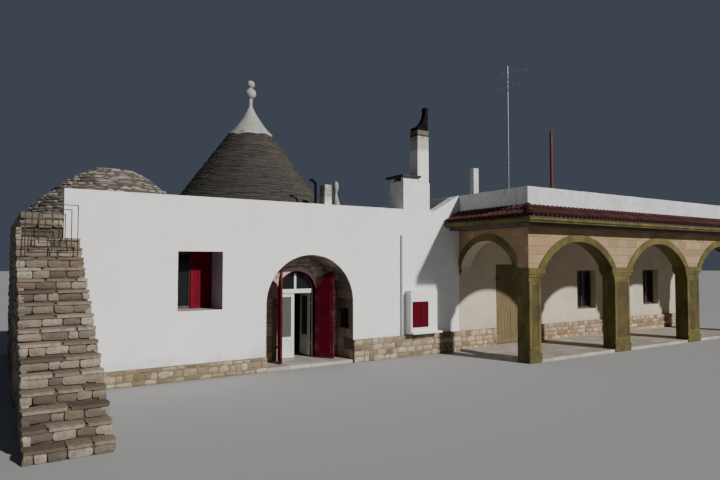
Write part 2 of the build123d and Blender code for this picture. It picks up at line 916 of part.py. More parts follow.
def stair_railing():
    """An iron panel of nested rectangles that stands on the stair."""
    rise = wall_height / step_count
    tread = step_count + int(railing_y // step_depth)
    foot = tread * rise
    left = railing_right - railing_width
    panel = None
    for frame in range(railing_frames):
        x0 = left + frame * railing_step_x
        x1 = railing_right - frame * railing_step_x
        z0 = foot + frame * railing_step_z + railing_foot
        z1 = foot + railing_height - frame * railing_step_z
        y1 = railing_y + railing_bar
        ring = block(x0, x1, railing_y, y1, z0, z1)
        ring -= block(
            x0 + railing_bar, x1 - railing_bar, railing_y, y1, z0 + railing_bar, z1 - railing_bar
        )
        panel = ring if panel is None else panel + ring
    middle = (left + railing_right) / 2
    half = railing_bar / 2
    inner = (railing_frames - 1) * railing_step_z
    y1 = railing_y + railing_bar
    low = foot + railing_foot
    panel += block(
        middle - half, middle + half, railing_y, y1, low, low + inner + railing_bar
    )
    top = foot + railing_height
    panel += block(middle - half, middle + half, railing_y, y1, top - inner - railing_bar, top)
    for x in (left, railing_right - railing_bar):
        panel += block(x, x + railing_bar, railing_y, y1, foot, low + railing_bar)
    save("stair_railing", panel)


# Portico wing

def wing_walls():
    """The rooms behind the portico."""
    thick = wing_wall_thickness
    door_end = porch_door_left + porch_door_width
    left = block(wing_left, porch_door_left, 0, thick, 0, wing_wall_height)
    save("wing_front_wall_left", left)
    right = block(door_end, wing_right, 0, thick, 0, wing_wall_height)
    lintel = block(porch_door_left, door_end, 0, thick, porch_door_height, wing_wall_height)
    back = block(wing_left, wing_right, main_depth - thick, main_depth, 0, wing_wall_height)
    for centre in bay_centres[1:]:
        x = centre - window_width / 2
        right -= window_hole(x, wing_window_sill, 0, thick)
        back -= window_hole(x, wing_window_sill, main_depth - thick, main_depth)
    save("wing_front_wall_right", right + lintel)
    save("wing_back_wall", back)
    end = block(wing_right - thick, wing_right, thick, main_depth - thick, 0, wing_wall_height)
    save("wing_end_wall", end)


def wing_slabs():
    """The floor of the rooms and portico, and the flat roof with its parapet."""
    thick = wing_wall_thickness
    rooms = block(
        wing_left, wing_right - thick, thick, main_depth - thick, 0, floor_thickness
    )
    door_end = porch_door_left + porch_door_width
    rooms += block(porch_door_left, door_end, -plinth_depth, thick, 0, floor_thickness)
    porch = block(wing_left, wing_right, -wing_depth, -plinth_depth, 0, floor_thickness)
    for x0, x1 in pillar_ends:
        y1 = arcade_thickness - wing_depth
        porch -= block(x0, x1, -wing_depth, y1, 0, floor_thickness)
    save("wing_floor", rooms + porch)

    roof = block(wing_left, wing_right, -wing_depth, main_depth, wing_wall_height, wing_roof_top)
    save("wing_roof", roof)
    t = wing_parapet_thickness
    ring = block(wing_left, wing_right, -wing_depth, main_depth, wing_roof_top, wing_parapet_top)
    ring -= block(
        wing_left + t, wing_right - t, t - wing_depth, main_depth - t,
        wing_roof_top, wing_parapet_top,
    )
    save("wing_parapet", ring)


def pillar(x0, x1, y0, y1, reach_left, reach_right, reach_back):
    """A square pillar with a stepped capital."""
    shape = block(x0, x1, y0, y1, 0, springing_height)
    lower = capital_height / 3
    steps = ((pillar_height, lower, 0.5), (pillar_height + lower, capital_height - lower, 1))
    for z0, height, share in steps:
        shape += block(
            x0 - reach_left * share, x1 + reach_right * share,
            y0 - capital_face_reach * share, y1 + reach_back * share,
            z0, z0 + height,
        )
    return shape


def arcade():
    """The portico's pillars, arch bands and the walls above them."""
    y0 = -wing_depth
    y1 = y0 + arcade_thickness
    pillars = []
    for x0, x1 in pillar_ends:
        at_left = x0 == wing_left
        at_right = x1 == wing_right
        reach_left = capital_face_reach if at_left else capital_reach
        reach_right = capital_face_reach if at_right else capital_reach
        reach_back = capital_side_reach if at_left or at_right else 0
        pillars.append(pillar(x0, x1, y0, y1, reach_left, reach_right, reach_back))
    save("portico_pillars", *pillars)

    half_span = bay_clear / 2 - capital_reach
    bands = []
    for bay, centre in enumerate(bay_centres):
        face = band_face(centre, half_span, springing_height, front_arch_crown, arch_band_width)
        bands.append(along_y(face, y0 - arch_band_reach, y1))
        x0 = wing_left if bay == 0 else centre - bay_pitch / 2
        x1 = wing_right if bay == bay_count - 1 else centre + bay_pitch / 2
        wall = block(x0, x1, y0, y1, springing_height, wing_wall_height)
        hole = filled_arch_face(
            centre, half_span, springing_height, front_arch_crown, arch_band_width
        )
        save(f"arcade_wall_{bay + 1}", wall - along_y(hole, y0, y1))
    save("front_arch_bands", *bands)


def side_arches():
    """The arch at each end of the portico, between corner pillar and house wall."""
    y0 = arcade_thickness - wing_depth
    clear = -y0
    half_span = clear / 2 - capital_side_reach
    centre = y0 + clear / 2
    band = band_face(centre, half_span, springing_height, side_arch_crown, arch_band_width)
    filled = filled_arch_face(
        centre, half_span, springing_height, side_arch_crown, arch_band_width
    )
    ends = {
        "left": (wing_left, wing_left + arcade_thickness, -1),
        "right": (wing_right - arcade_thickness, wing_right, 1),
    }
    keep = block(-too_far, too_far, y0, 0, 0, too_far)
    bands = []
    walls = []
    for x0, x1, out in ends.values():
        outer0, outer1 = (x0 - arch_band_reach, x1) if out < 0 else (x0, x1 + arch_band_reach)
        wall = block(x0, x1, y0, 0, springing_height, wing_wall_height)
        walls += (wall - along_x(filled, x0, x1)).solids()
        lower = capital_height / 3
        bracket = block(x0, x1, -capital_side_reach, 0, pillar_height + lower, springing_height)
        bracket += block(
            x0, x1, -capital_side_reach / 2, 0, pillar_height, pillar_height + lower
        )
        bands.append((along_x(band, outer0, outer1) & keep) + bracket)
    save("side_arch_bands", *bands)
    save("side_arch_walls", *walls)


def eave():
    """The cornice and the sloping tile roof around the portico."""
    base = wing_wall_height
    tile_base = base + cornice_height
    x0 = wing_left - eave_reach
    x1 = wing_right + eave_reach
    y0 = -wing_depth - eave_reach
    core = block(wing_left, wing_right, -wing_depth, 0, 0, too_far)
    save("eave_cornice", block(x0, x1, y0, 0, base, tile_base) - core)

    length = x1 - x0
    depth = wing_depth + eave_reach
    middle = (x0 + x1) / 2
    foot = Plane(origin=(middle, 0, tile_base)) * Rectangle(length, 2 * depth)
    head_size = (length - 2 * eave_reach, 2 * (depth - eave_reach))
    head = Plane(origin=(middle, 0, tile_base + tile_rise)) * Rectangle(*head_size)
    hip = loft([foot.face(), head.face()], ruled=True)
    street_side = block(x0, x1, y0, 0, tile_base, tile_base + tile_rise)
    save("eave_tiles", (hip & street_side) - core)


street_front()
other_walls()
main_slabs()
front_parapet()
plinth()
trullo_cone()
low_dome()
chimney()
roof_things()
wing_roof_things()
windows()
front_cupboard()
outer_door()
inner_door()
hinge_pins()
porch_door()
stair()
stair_railing()
wing_walls()
wing_slabs()
arcade()
side_arches()
eave()
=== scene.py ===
import contextlib
import json
import math
import random

import bmesh
import bpy
import numpy as np
from mathutils import Matrix, Vector, noise


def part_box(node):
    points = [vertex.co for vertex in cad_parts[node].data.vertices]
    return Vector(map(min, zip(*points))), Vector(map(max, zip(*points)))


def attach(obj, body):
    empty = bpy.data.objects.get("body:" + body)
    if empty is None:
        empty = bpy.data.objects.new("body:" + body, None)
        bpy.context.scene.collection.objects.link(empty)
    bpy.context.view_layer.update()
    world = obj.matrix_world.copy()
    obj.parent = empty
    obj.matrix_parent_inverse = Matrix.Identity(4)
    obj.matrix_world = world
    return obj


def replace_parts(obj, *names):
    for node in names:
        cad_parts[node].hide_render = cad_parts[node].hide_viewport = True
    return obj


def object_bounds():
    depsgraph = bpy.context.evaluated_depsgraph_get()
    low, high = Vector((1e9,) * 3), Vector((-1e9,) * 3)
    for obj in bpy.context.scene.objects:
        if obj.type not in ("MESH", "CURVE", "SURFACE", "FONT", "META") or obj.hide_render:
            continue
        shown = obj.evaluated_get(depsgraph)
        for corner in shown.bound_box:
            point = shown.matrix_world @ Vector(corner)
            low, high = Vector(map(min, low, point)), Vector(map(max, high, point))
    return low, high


# A whitewashed trullo house with an arched portico wing, in metres.
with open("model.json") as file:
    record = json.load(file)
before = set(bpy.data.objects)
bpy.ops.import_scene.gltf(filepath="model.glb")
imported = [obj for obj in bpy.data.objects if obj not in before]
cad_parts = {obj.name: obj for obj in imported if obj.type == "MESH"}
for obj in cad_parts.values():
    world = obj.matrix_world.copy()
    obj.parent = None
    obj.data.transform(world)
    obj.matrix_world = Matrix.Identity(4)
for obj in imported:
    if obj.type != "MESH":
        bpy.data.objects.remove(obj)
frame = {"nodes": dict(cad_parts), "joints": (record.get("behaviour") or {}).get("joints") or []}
cad_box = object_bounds()
nodes = frame["nodes"]

# Camera and light
CAMERA_PLACE = (-6.47, -16.25, 2.6)
CAMERA_TURN = (92.27, 0, -32.5)
CAMERA_LENS = 29.0
SUN_TRAVEL = (-0.34, 1.0, -0.535)
SUN_COLOUR = (1.0, 0.98, 0.955)
SUN_STRENGTH = 4.3
SUN_ANGLE = 2.5
SKY_COLOUR = (0.62, 0.76, 1.0)
SKY_STRENGTH = 0.085
FLOOR_COLOUR = (0.36, 0.36, 0.355)
FLOOR_SIZE = 400
FLOOR_DROP = 0.002

# Masonry
WELD = 0.0002
CORNER_ROUNDING = 0.018
SHARP = math.radians(30)
SMALL_ROUNDING = 0.014
PLASTER_GRID = 0.28
PLASTER_WAVE = 0.012
NICHE_DEPTH = 0.28
NICHE_FRONT = 0.25
NICHE_WIDTH = 0.45
NICHE_BOTTOM = 0.87
NICHE_HEIGHT = 0.52
LINING_REACH = 0.022
BAND_RADIUS = 0.69
EDGE_PAINT = 0.10
REVEAL_LOW = 1.4
REVEAL_HIGH = 3.0
UPWARD = 0.7
WING_WALL = 0.45
END_WALL_SHOULDER = 3.2
PLINTH_TOP = 0.35
PORCH_PLINTH_TOP = 0.59
PORCH_STEP = (1.48, 2.85)

# Stone roofs
NECK_RADIUS = 0.055
SMALL_BALL = 0.118
CONE_COURSE = 0.056
CONE_STONE = (0.18, 0.40)
# The cone's stones are lighter on the side facing this way: painted light on the side the sun falls
# on.
PAINTED_LIGHT_SIDE = math.radians(-22)
DOME_COURSE = 0.105
DOME_STONE = (0.16, 0.50)
DOME_CORE = 0.98
CAP_SIDES = 64
CAP_PARTS = 24
CAP_SAG = 0.050
DOME_OUTLINE = [
    (2.10, 0.0), (1.78, 0.42), (1.40, 0.79), (1.12, 1.0), (0.87, 1.2), (0.52, 1.38), (0.02, 1.43),
]

# Stair
STEP_COUNT = 17
STEP_DEPTH = 0.275
NOSING = 0.025
NOSING_HEIGHT = 0.06

# Portico
PILLAR_WIDTH = 0.73
END_PILLAR_WIDTH = 0.45
BAY_WIDTH = 3.2
PANEL_SPAN = (0.32, 2.12)
PANEL_EDGE = 0.10
PANEL_PROUD = 0.016
PANEL_SEAT = 0.01
PILLAR_FOOT = 0.24
FASCIA_HEIGHT = 0.118
SOFFIT_INSET = 0.20

# Doors, as they stand open in the frame
OUTER_ANGLES = {"left": 107, "right": 119}
INNER_ANGLES = {"left": 0, "right": 88}
THRESHOLD = 0.10
LEAF_GAP = 0.006
LEAF_THICKNESS = 0.045
INNER_THICKNESS = 0.04
INNER_BORDER = 0.078
INNER_PANELS = ((0.64, 1.714), (0.18, 0.56))
ARCH_PARTS = 32
FRAME_WIDTH = 0.05
STOP_WIDTH = 0.055
PANEL_BORDER = 0.09
PANEL_SINK = 0.012
RAIL_HEIGHT = 1.15
BOARD_WIDTH = 0.085
BOARD_PROUD = 0.003
BEAD_WIDTH = 0.016
BEAD_PROUD = 0.007
PIN_WEAR = 0.0016

# Tiles of the eave
TILE_PITCH = 0.172
TILE_RADIUS = 0.078
TILE_LENGTH = 0.42
TILE_OVERLAP = 0.08
TILE_STEP = TILE_LENGTH - TILE_OVERLAP
TILE_THICKNESS = 0.014
TILE_TILT = 0.020
SHORTEST_TILE = 0.08
EAVE_SET_BACK = 0.054
HIP_SET_BACK = 0.13

# Directions
RIGHT, LEFT, BACK, FORWARD, UP = (1, 0, 0), (-1, 0, 0), (0, 1, 0), (0, -1, 0), (0, 0, 1)

wall_low, wall_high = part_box("front_wall_left")
arch_low, arch_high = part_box("entrance_arch")
roof_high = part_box("main_roof")[1]
frame_low, frame_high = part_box("inner_door_frame")
shutter_low, shutter_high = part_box("window_shutter")
stair_low, stair_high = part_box("roof_stair")
wing_low, wing_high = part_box("wing_roof")
tiles_low, tiles_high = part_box("eave_tiles")
cone_low, cone_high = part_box("trullo_cone")

FRONT = wall_low.y
ARCH_CENTRE = (arch_low.x + arch_high.x) / 2
ARCH_RADIUS = (arch_high.x - arch_low.x) / 2
ARCH_SPRINGING = arch_low.z
RECESS_BACK = arch_high.y
DOOR_RADIUS = (frame_high.x - frame_low.x) / 2
DOOR_SPRINGING = frame_high.z - DOOR_RADIUS
FLOOR_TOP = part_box("main_floor")[1].z
ROOF_TOP = roof_high.z


# Nodes of a material

class Surface:
    """One procedural material, whose colour is built up layer by layer."""

    def __init__(self, name, colour=None, roughness=0.9):
        self.material = bpy.data.materials.new(name)
        self.material.use_nodes = True
        self.tree = self.material.node_tree
        self.shader = self.tree.nodes["Principled BSDF"]
        self.shader.inputs["Roughness"].default_value = roughness
        self.place = self.node("TexCoord").outputs["Object"]
        self.colour = colour
        self.height = None

    def put(self, socket, value):
        """Link a value from another node, or set it."""
        if isinstance(value, bpy.types.NodeSocket):
            self.tree.links.new(value, socket)
        else:
            socket.default_value = (*value, 1) if socket.type == "RGBA" else value

    def node(self, kind, settings=None, places=None, **inputs):
        """A node with its settings, and its inputs by place or by name."""
        made = self.tree.nodes.new("ShaderNode" + kind)
        for name, value in (settings or {}).items():
            setattr(made, name, value)
        for place, value in (places or {}).items():
            self.put(made.inputs[place], value)
        for name, value in inputs.items():
            self.put(made.inputs[name.replace("_", " ")], value)
        return made

    def cloud(self, scale, detail=4, roughness=0.55, stretch=None):
        """Noise between 0 and 1, which may have a scale for each axis."""
        place = self.place
        if stretch is not None:
            place = self.node("Mapping", Vector=place, Scale=stretch).outputs["Vector"]
        made = self.node("TexNoise", Vector=place, Scale=scale, Detail=detail, Roughness=roughness)
        return made.outputs["Fac"]

    def bricks(self, place, offset, joint, smooth, width, height):
        """The tones of bonded blocks, and a number that is 1 in their joints."""
        made = self.node(
            "TexBrick", {"offset": offset}, Vector=place, Color1=(0, 0, 0), Color2=(1, 1, 1),
            Mortar=(0.5, 0.5, 0.5), Scale=1.0, Mortar_Size=joint, Mortar_Smooth=smooth,
            Brick_Width=width, Row_Height=height,
        )
        return made.outputs["Color"], made.outputs["Fac"]

    def span(self, value, low, high, out_low=0.0, out_high=1.0):
        """Value moved from one range to another, and kept inside it."""
        made = self.node(
            "MapRange", {"interpolation_type": "SMOOTHSTEP"}, Value=value, From_Min=low,
            From_Max=high, To_Min=out_low, To_Max=out_high,
        )
        return made.outputs["Result"]

    def sum(self, operation, first, second):
        """Arithmetic on two numbers."""
        made = self.node("Math", {"operation": operation}, {0: first, 1: second})
        return made.outputs["Value"]

    def level(self, scale, low, high, sway):
        """The height over the ground, moved up and down by noise."""
        height = self.node("SeparateXYZ", Vector=self.place).outputs["Z"]
        return self.sum("ADD", height, self.span(self.cloud(scale, 5), low, high, -sway, sway))

    def tone(self):
        """The tone that each stone or tile carries."""
        return self.node("Attribute", {"attribute_name": "tone"}).outputs["Fac"]

    def ramp(self, value, *stops):
        """Colour the surface by a number, with stops of place and colour."""
        made = self.node("ValToRGB", Fac=value)
        elements = made.color_ramp.elements
        while len(elements) < len(stops):
            elements.new(1.0)
        for element, (where, colour) in zip(elements, stops):
            element.position = where
            element.color = (*colour, 1)
        self.colour = made.outputs["Color"]

    def cover(self, colour, share):
        """Lay a colour over the surface's own by a share of 0 to 1."""
        made = self.node("Mix", {"data_type": "RGBA"}, {6: self.colour, 7: colour}, Factor=share)
        self.colour = made.outputs[2]

    def stain(self, colour, grain, low, high, share, stretch=None):
        """Lay a colour over it in patches of noise, whose grain is scale, detail and roughness."""
        self.cover(colour, self.span(self.cloud(*grain, stretch), low, high, 0, share))

    def gloss(self, scale, detail, low, high):
        """Let noise move the roughness between two values."""
        value = self.span(self.cloud(scale, detail), 0.3, 0.7, low, high)
        self.put(self.shader.inputs["Roughness"], value)

    def bump(self, height, depth):
        """Relief of a depth in metres, on top of earlier relief."""
        made = self.node("Bump", Height=height, Distance=depth, Strength=1.0)
        if self.height is not None:
            self.put(made.inputs["Normal"], self.height)
        self.height = made.outputs["Normal"]
        self.put(self.shader.inputs["Normal"], self.height)

    def done(self):
        """The material in its last colour."""
        self.put(self.shader.inputs["Base Color"], self.colour)
        return self.material


def plaster(name, pale, dull, dirt=(0.46, 0.40, 0.33), dirt_top=0.75, wear_from=None):
    """Limewash over rough plaster, dirty at its foot."""
    s = Surface(name)
    s.ramp(s.cloud(1.1, 6, 0.6), (0.3, dull), (0.62, pale))
    s.stain(dull, (9, 5, 0.6), 0.5, 0.78, 0.25, (1, 1, 0.45))
    s.stain([0.82 * c for c in dull], (5, 4, 0.6), 0.6, 0.8, 0.22, (1, 1, 0.09))
    s.cover(dirt, s.span(s.level(2.3, 0.2, 0.8, 0.35), dirt_top, 0.0, 0, 0.5))
    if wear_from is not None:
        spots = s.span(s.cloud(7, 6, 0.7, (1, 1, 0.5)), 0.5, 0.72)
        top = s.span(s.level(3.4, 0.25, 0.75, 0.16), wear_from, wear_from + 0.22)
        s.cover((0.30, 0.29, 0.27), s.sum("MULTIPLY", s.sum("MULTIPLY", top, spots), 0.55))
    s.bump(s.cloud(4.5, 5, 0.6), 0.012)
    s.bump(s.cloud(60, 3, 0.6), 0.0016)
    return s.done()


def stained_plaster(name, top, grey_depth, brown_depth, brown):
    """White plaster that is grey and then bare and brown towards the top."""
    s = Surface(name)
    s.ramp(s.cloud(2.0, 6, 0.6), (0.3, (0.72, 0.72, 0.70)), (0.65, (0.82, 0.82, 0.81)))
    level = s.level(5, 0.25, 0.75, 0.05)
    grey_from, brown_from = top - grey_depth, top - brown_depth
    s.cover((0.36, 0.38, 0.33), s.span(level, grey_from - 0.12, grey_from + 0.04, 0, 0.85))
    bare = s.span(level, brown_from - 0.05, brown_from + 0.05, 0, 0.9)
    s.cover(brown, s.sum("MULTIPLY", bare, s.span(s.cloud(7, 4), 0.36, 0.54, 0.15, 1.0)))
    s.bump(s.cloud(6, 5, 0.6), 0.010)
    s.bump(s.cloud(60, 3), 0.0016)
    return s.done()


def stone(name, dark, middle, pale, patch, patch_share, grain, moss=None):
    """Rough stones, each with its own tone."""
    s = Surface(name, roughness=0.92)
    s.ramp(s.tone(), (0.0, dark), (0.5, middle), (1.0, pale))
    s.stain(dark, (grain, 6, 0.65), 0.38, 0.7, 0.5)
    s.stain(patch, (1.7, 5, 0.6), 0.52, 0.68, patch_share)
    if moss is not None:
        s.stain(moss, (3.1, 6, 0.7), 0.56, 0.66, 0.75)
    s.bump(s.cloud(grain, 6, 0.65), 0.012)
    s.bump(s.node("TexVoronoi", Vector=s.place, Scale=grain * 2.2).outputs["Distance"], 0.004)
    return s.done()


def ashlar(name):
    """Pinkish squared blocks with thin joints, on faces that look along x or y."""
    s = Surface(name)
    place = s.node("SeparateXYZ", Vector=s.place).outputs
    normal = s.node("SeparateXYZ", Vector=s.node("NewGeometry").outputs["Normal"]).outputs
    sideways = s.sum("GREATER_THAN", s.sum("ABSOLUTE", normal["X"], 0), 0.6)
    along = s.node("Mix", None, {2: place["X"], 3: place["Y"]}, Factor=sideways)
    wall = s.node("CombineXYZ", X=along.outputs[0], Y=place["Z"])
    tone, joints = s.bricks(
        wall.outputs["Vector"], offset=0.5, joint=0.006, smooth=0.3, width=0.46, height=0.235
    )
    dark, middle, pale = (0.29, 0.190, 0.100), (0.345, 0.235, 0.130), (0.40, 0.285, 0.165)
    s.ramp(tone, (0.0, dark), (0.5, middle), (1.0, pale))
    s.stain((0.27, 0.175, 0.105), (2.2, 6, 0.65), 0.45, 0.75, 0.5, (1, 1, 0.5))
    s.cover((0.22, 0.155, 0.10), s.sum("MULTIPLY", joints, 0.6))
    s.bump(s.cloud(30, 6, 0.65), 0.006)
    s.bump(s.sum("SUBTRACT", 1.0, joints), 0.005)
    return s.done()


def slab_floor(name):
    """Worn stone slabs of a floor."""
    s = Surface(name, roughness=0.75)
    tone, joints = s.bricks(s.place, offset=0.4, joint=0.008, smooth=0.4, width=0.62, height=0.41)
    s.ramp(tone, (0.0, (0.34, 0.30, 0.25)), (1.0, (0.48, 0.44, 0.38)))
    s.stain((0.27, 0.24, 0.20), (3, 6, 0.65), 0.45, 0.75, 0.5)
    s.cover((0.16, 0.14, 0.12), joints)
    s.bump(s.cloud(14, 5), 0.004)
    s.bump(s.sum("SUBTRACT", 1.0, joints), 0.006)
    return s.done()


def render_coat(name, base, dull, pale):
    """Painted render on pillars, bands and cornice."""
    s = Surface(name, roughness=0.82)
    s.ramp(s.cloud(2.6, 6, 0.6), (0.3, dull), (0.5, base), (0.72, pale))
    s.stain(dull, (9, 5, 0.6), 0.52, 0.75, 0.55, (1, 1, 0.12))
    s.bump(s.cloud(42, 5, 0.6), 0.003)
    return s.done()


def timber(name, dark, pale, dust, dust_share, stretch=(14, 14, 0.8)):
    """Painted or stained boards, with their grain along the axis of the smallest scale."""
    s = Surface(name, roughness=0.6)
    grain = s.cloud(3.0, 6, 0.6, stretch)
    s.ramp(grain, (0.3, dark), (0.7, pale))
    s.stain(dust, (4.0, 5, 0.65), 0.45, 0.75, dust_share)
    s.gloss(5, 4, 0.45, 0.75)
    s.bump(grain, 0.0018)
    return s.done()


def metal(name, colour, rust, roughness, metallic, rust_share=0.5):
    """Old metal with rust or dust on it."""
    s = Surface(name, colour, roughness)
    s.shader.inputs["Metallic"].default_value = metallic
    s.stain(rust, (7, 6, 0.65), 0.45, 0.72, rust_share)
    s.gloss(11, 4, roughness - 0.12, roughness + 0.22)
    s.bump(s.cloud(48, 4), 0.001)
    return s.done()


def clay_tile(name):
    """Fired clay, from pale brick red to a sooty brown."""
    s = Surface(name, roughness=0.8)
    s.ramp(
        s.tone(), (0.0, (0.030, 0.006, 0.004)), (0.35, (0.056, 0.011, 0.007)),
        (0.75, (0.086, 0.018, 0.011)), (1.0, (0.13, 0.042, 0.026)),
    )
    s.stain((0.022, 0.008, 0.006), (6, 6, 0.7), 0.5, 0.75, 0.6)
    s.bump(s.cloud(50, 4), 0.002)
    return s.done()


def shine(material, amount):
    """Set how strongly a surface mirrors."""
    material.node_tree.nodes["Principled BSDF"].inputs["Specular IOR Level"].default_value = amount


def glass(name, colour, mirror):
    """Old window glass, opaque, whose dark colour is painted shade of the room behind it."""
    s = Surface(name, colour, 0.08)
    s.gloss(2.2, 3, 0.05, 0.16)
    s.bump(s.cloud(3.5, 2), 0.0012)
    shine(s.material, mirror)
    return s.done()


WHITE = plaster("white_limewash", (0.82, 0.82, 0.81), (0.75, 0.75, 0.735), wear_from=3.98)
WING_WHITE = plaster("white_wing_plaster", (0.70, 0.69, 0.70), (0.54, 0.53, 0.54), wear_from=4.2)
CAP_WHITE = plaster("greyed_cap_plaster", (0.40, 0.40, 0.365), (0.27, 0.27, 0.24))
PORCH_WHITE = plaster(
    "cream_porch_plaster", (0.57, 0.51, 0.40), (0.47, 0.405, 0.305), (0.36, 0.25, 0.16), 1.0
)
# Walls inside the rooms painted near black: painted shade of the unlit rooms, not the plaster's own
# white.
ROOM_PAINTED_SHADE = plaster("room_plaster_painted_shade", (0.10, 0.092, 0.09), (0.07, 0.062, 0.062), (0.08, 0.07, 0.065))
RECESS_PINK = plaster("pink_recess_plaster", (0.66, 0.48, 0.43), (0.48, 0.33, 0.28), dirt_top=1.4)
RECESS_STONE = plaster(
    "brown_recess_stone", (0.30, 0.225, 0.170), (0.19, 0.140, 0.105), (0.22, 0.15, 0.10), 1.1
)
CRIMSON_EDGE = plaster("crimson_edge_paint", (0.075, 0.004, 0.012), (0.045, 0.004, 0.010))
# Window reveals painted grey-mauve, darker than the white wall: painted shade in the window recess.
REVEAL_PAINTED_SHADE = plaster("reveal_plaster_painted_shade", (0.40, 0.35, 0.375), (0.29, 0.25, 0.27))
SCREED = plaster("roof_screed", (0.47, 0.45, 0.42), (0.33, 0.31, 0.29))
MORTAR = plaster(
    "dark_joint_mortar", (0.060, 0.052, 0.042), (0.036, 0.031, 0.026), (0.04, 0.034, 0.027)
)
PALE_MORTAR = plaster(
    "brown_joint_mortar", (0.105, 0.084, 0.060), (0.065, 0.051, 0.036), (0.075, 0.058, 0.039)
)
CREAM_MORTAR = plaster(
    "cream_joint_mortar", (0.24, 0.19, 0.13), (0.16, 0.125, 0.085), (0.15, 0.115, 0.075)
)
CONE_STONE_LOOK = stone(
    "cone_stone", (0.030, 0.027, 0.023), (0.072, 0.064, 0.055), (0.135, 0.122, 0.106),
    patch=(0.105, 0.072, 0.042), patch_share=0.4, grain=30, moss=(0.046, 0.042, 0.036),
)
DOME_STONE_LOOK = stone(
    "dome_stone", (0.085, 0.072, 0.060), (0.25, 0.22, 0.185), (0.46, 0.43, 0.385),
    patch=(0.17, 0.135, 0.10), patch_share=0.55, grain=16,
)
RUBBLE = stone(
    "rubble_stone", (0.085, 0.066, 0.048), (0.215, 0.172, 0.128), (0.36, 0.31, 0.245),
    patch=(0.205, 0.128, 0.068), patch_share=0.5, grain=15, moss=(0.13, 0.125, 0.115),
)
PLINTH_STONE = stone(
    "plinth_stone", (0.15, 0.115, 0.065), (0.33, 0.265, 0.165), (0.50, 0.43, 0.30),
    patch=(0.27, 0.17, 0.075), patch_share=0.5, grain=15,
)
PORCH_RUBBLE = stone(
    "porch_plinth_stone", (0.20, 0.135, 0.08), (0.40, 0.29, 0.185), (0.56, 0.44, 0.31),
    patch=(0.30, 0.19, 0.10), patch_share=0.45, grain=15,
)
LINING = stone(
    "lining_stone", (0.13, 0.10, 0.078), (0.30, 0.25, 0.195), (0.46, 0.40, 0.33),
    patch=(0.25, 0.145, 0.080), patch_share=0.5, grain=14, moss=(0.13, 0.13, 0.11),
)
# Back wall stones paler than the lining stones: painted light on the back of the recess.
BACK_STONE_PAINTED_LIGHT = stone(
    "recess_stone_painted_light", (0.30, 0.24, 0.18), (0.52, 0.43, 0.35), (0.68, 0.60, 0.51),
    patch=(0.40, 0.27, 0.17), patch_share=0.4, grain=14,
)
# Dark stone of the chimney's slabs; on the thin slab under the stack cap its dark band is painted
# shade under the cap.
DARK_SLAB_AND_SHADE = stone(
    "dark_slab", (0.035, 0.032, 0.028), (0.07, 0.065, 0.058), (0.11, 0.10, 0.09),
    patch=(0.09, 0.075, 0.04), patch_share=0.5, grain=20,
)
CAP_OCHRE = stone(
    "lichened_cap_stone", (0.15, 0.14, 0.09), (0.26, 0.245, 0.165), (0.34, 0.32, 0.22),
    patch=(0.12, 0.11, 0.06), patch_share=0.6, grain=18,
)
ASHLAR = ashlar("ashlar_stone")
SLABS = slab_floor("floor_slabs")
TILE = clay_tile("clay_tile")
OCHRE = render_coat(
    "ochre_render", (0.105, 0.085, 0.016), (0.045, 0.035, 0.008), (0.16, 0.13, 0.036)
)
OLIVE = render_coat(
    "olive_panel", (0.066, 0.048, 0.010), (0.034, 0.024, 0.006), (0.10, 0.078, 0.018)
)
# Brown timber of the soffit and the fascia's foot, darkened as painted shade under the moulding.
SOFFIT_PAINTED_SHADE = timber(
    "soffit_brown_painted_shade", (0.045, 0.026, 0.017), (0.085, 0.052, 0.034),
    dust=(0.06, 0.045, 0.035), dust_share=0.3, stretch=(0.8, 14, 14),
)
RED_WOOD = timber(
    "red_wood", (0.085, 0.002, 0.009), (0.155, 0.003, 0.015),
    dust=(0.095, 0.016, 0.018), dust_share=0.35,
)
SHUTTER_RED = timber(
    "red_shutter_wood", (0.115, 0.003, 0.010), (0.185, 0.004, 0.017),
    dust=(0.10, 0.010, 0.014), dust_share=0.3,
)
RED_FRAME = timber(
    "dusty_red_wood", (0.080, 0.006, 0.013), (0.135, 0.012, 0.024),
    dust=(0.20, 0.095, 0.10), dust_share=0.65,
)
BROWN_WOOD = timber(
    "brown_wood", (0.11, 0.076, 0.032), (0.19, 0.135, 0.058),
    dust=(0.20, 0.155, 0.08), dust_share=0.4,
)
WINDOW_WOOD = timber(
    "dark_window_wood", (0.05, 0.03, 0.018), (0.10, 0.06, 0.036),
    dust=(0.12, 0.09, 0.07), dust_share=0.3,
)
WHITE_WOOD = timber(
    "white_wood", (0.62, 0.63, 0.60), (0.76, 0.77, 0.74), dust=(0.50, 0.49, 0.43), dust_share=0.3
)
SOOTY_METAL = metal(
    "dark_sheet_metal", (0.007, 0.007, 0.007), (0.014, 0.010, 0.008), roughness=0.75, metallic=0.1
)
RED_STEEL = metal(
    "red_steel", (0.13, 0.018, 0.014), (0.07, 0.025, 0.016), roughness=0.55, metallic=0.2
)
MAST_METAL = metal(
    "mast_aluminium", (0.30, 0.31, 0.33), (0.16, 0.15, 0.14), roughness=0.45, metallic=0.9
)
GREY_PIPE = metal(
    "grey_pipe", (0.42, 0.43, 0.44), (0.30, 0.29, 0.28), roughness=0.5, metallic=0.1
)
IRON = metal(
    "wrought_iron", (0.035, 0.033, 0.034), (0.075, 0.038, 0.022), roughness=0.55, metallic=0.5
)
RED_DOOR = metal(
    "red_cupboard_paint", (0.088, 0.0012, 0.008), (0.062, 0.002, 0.007), roughness=0.6, metallic=0.0,
    rust_share=0.35,
)
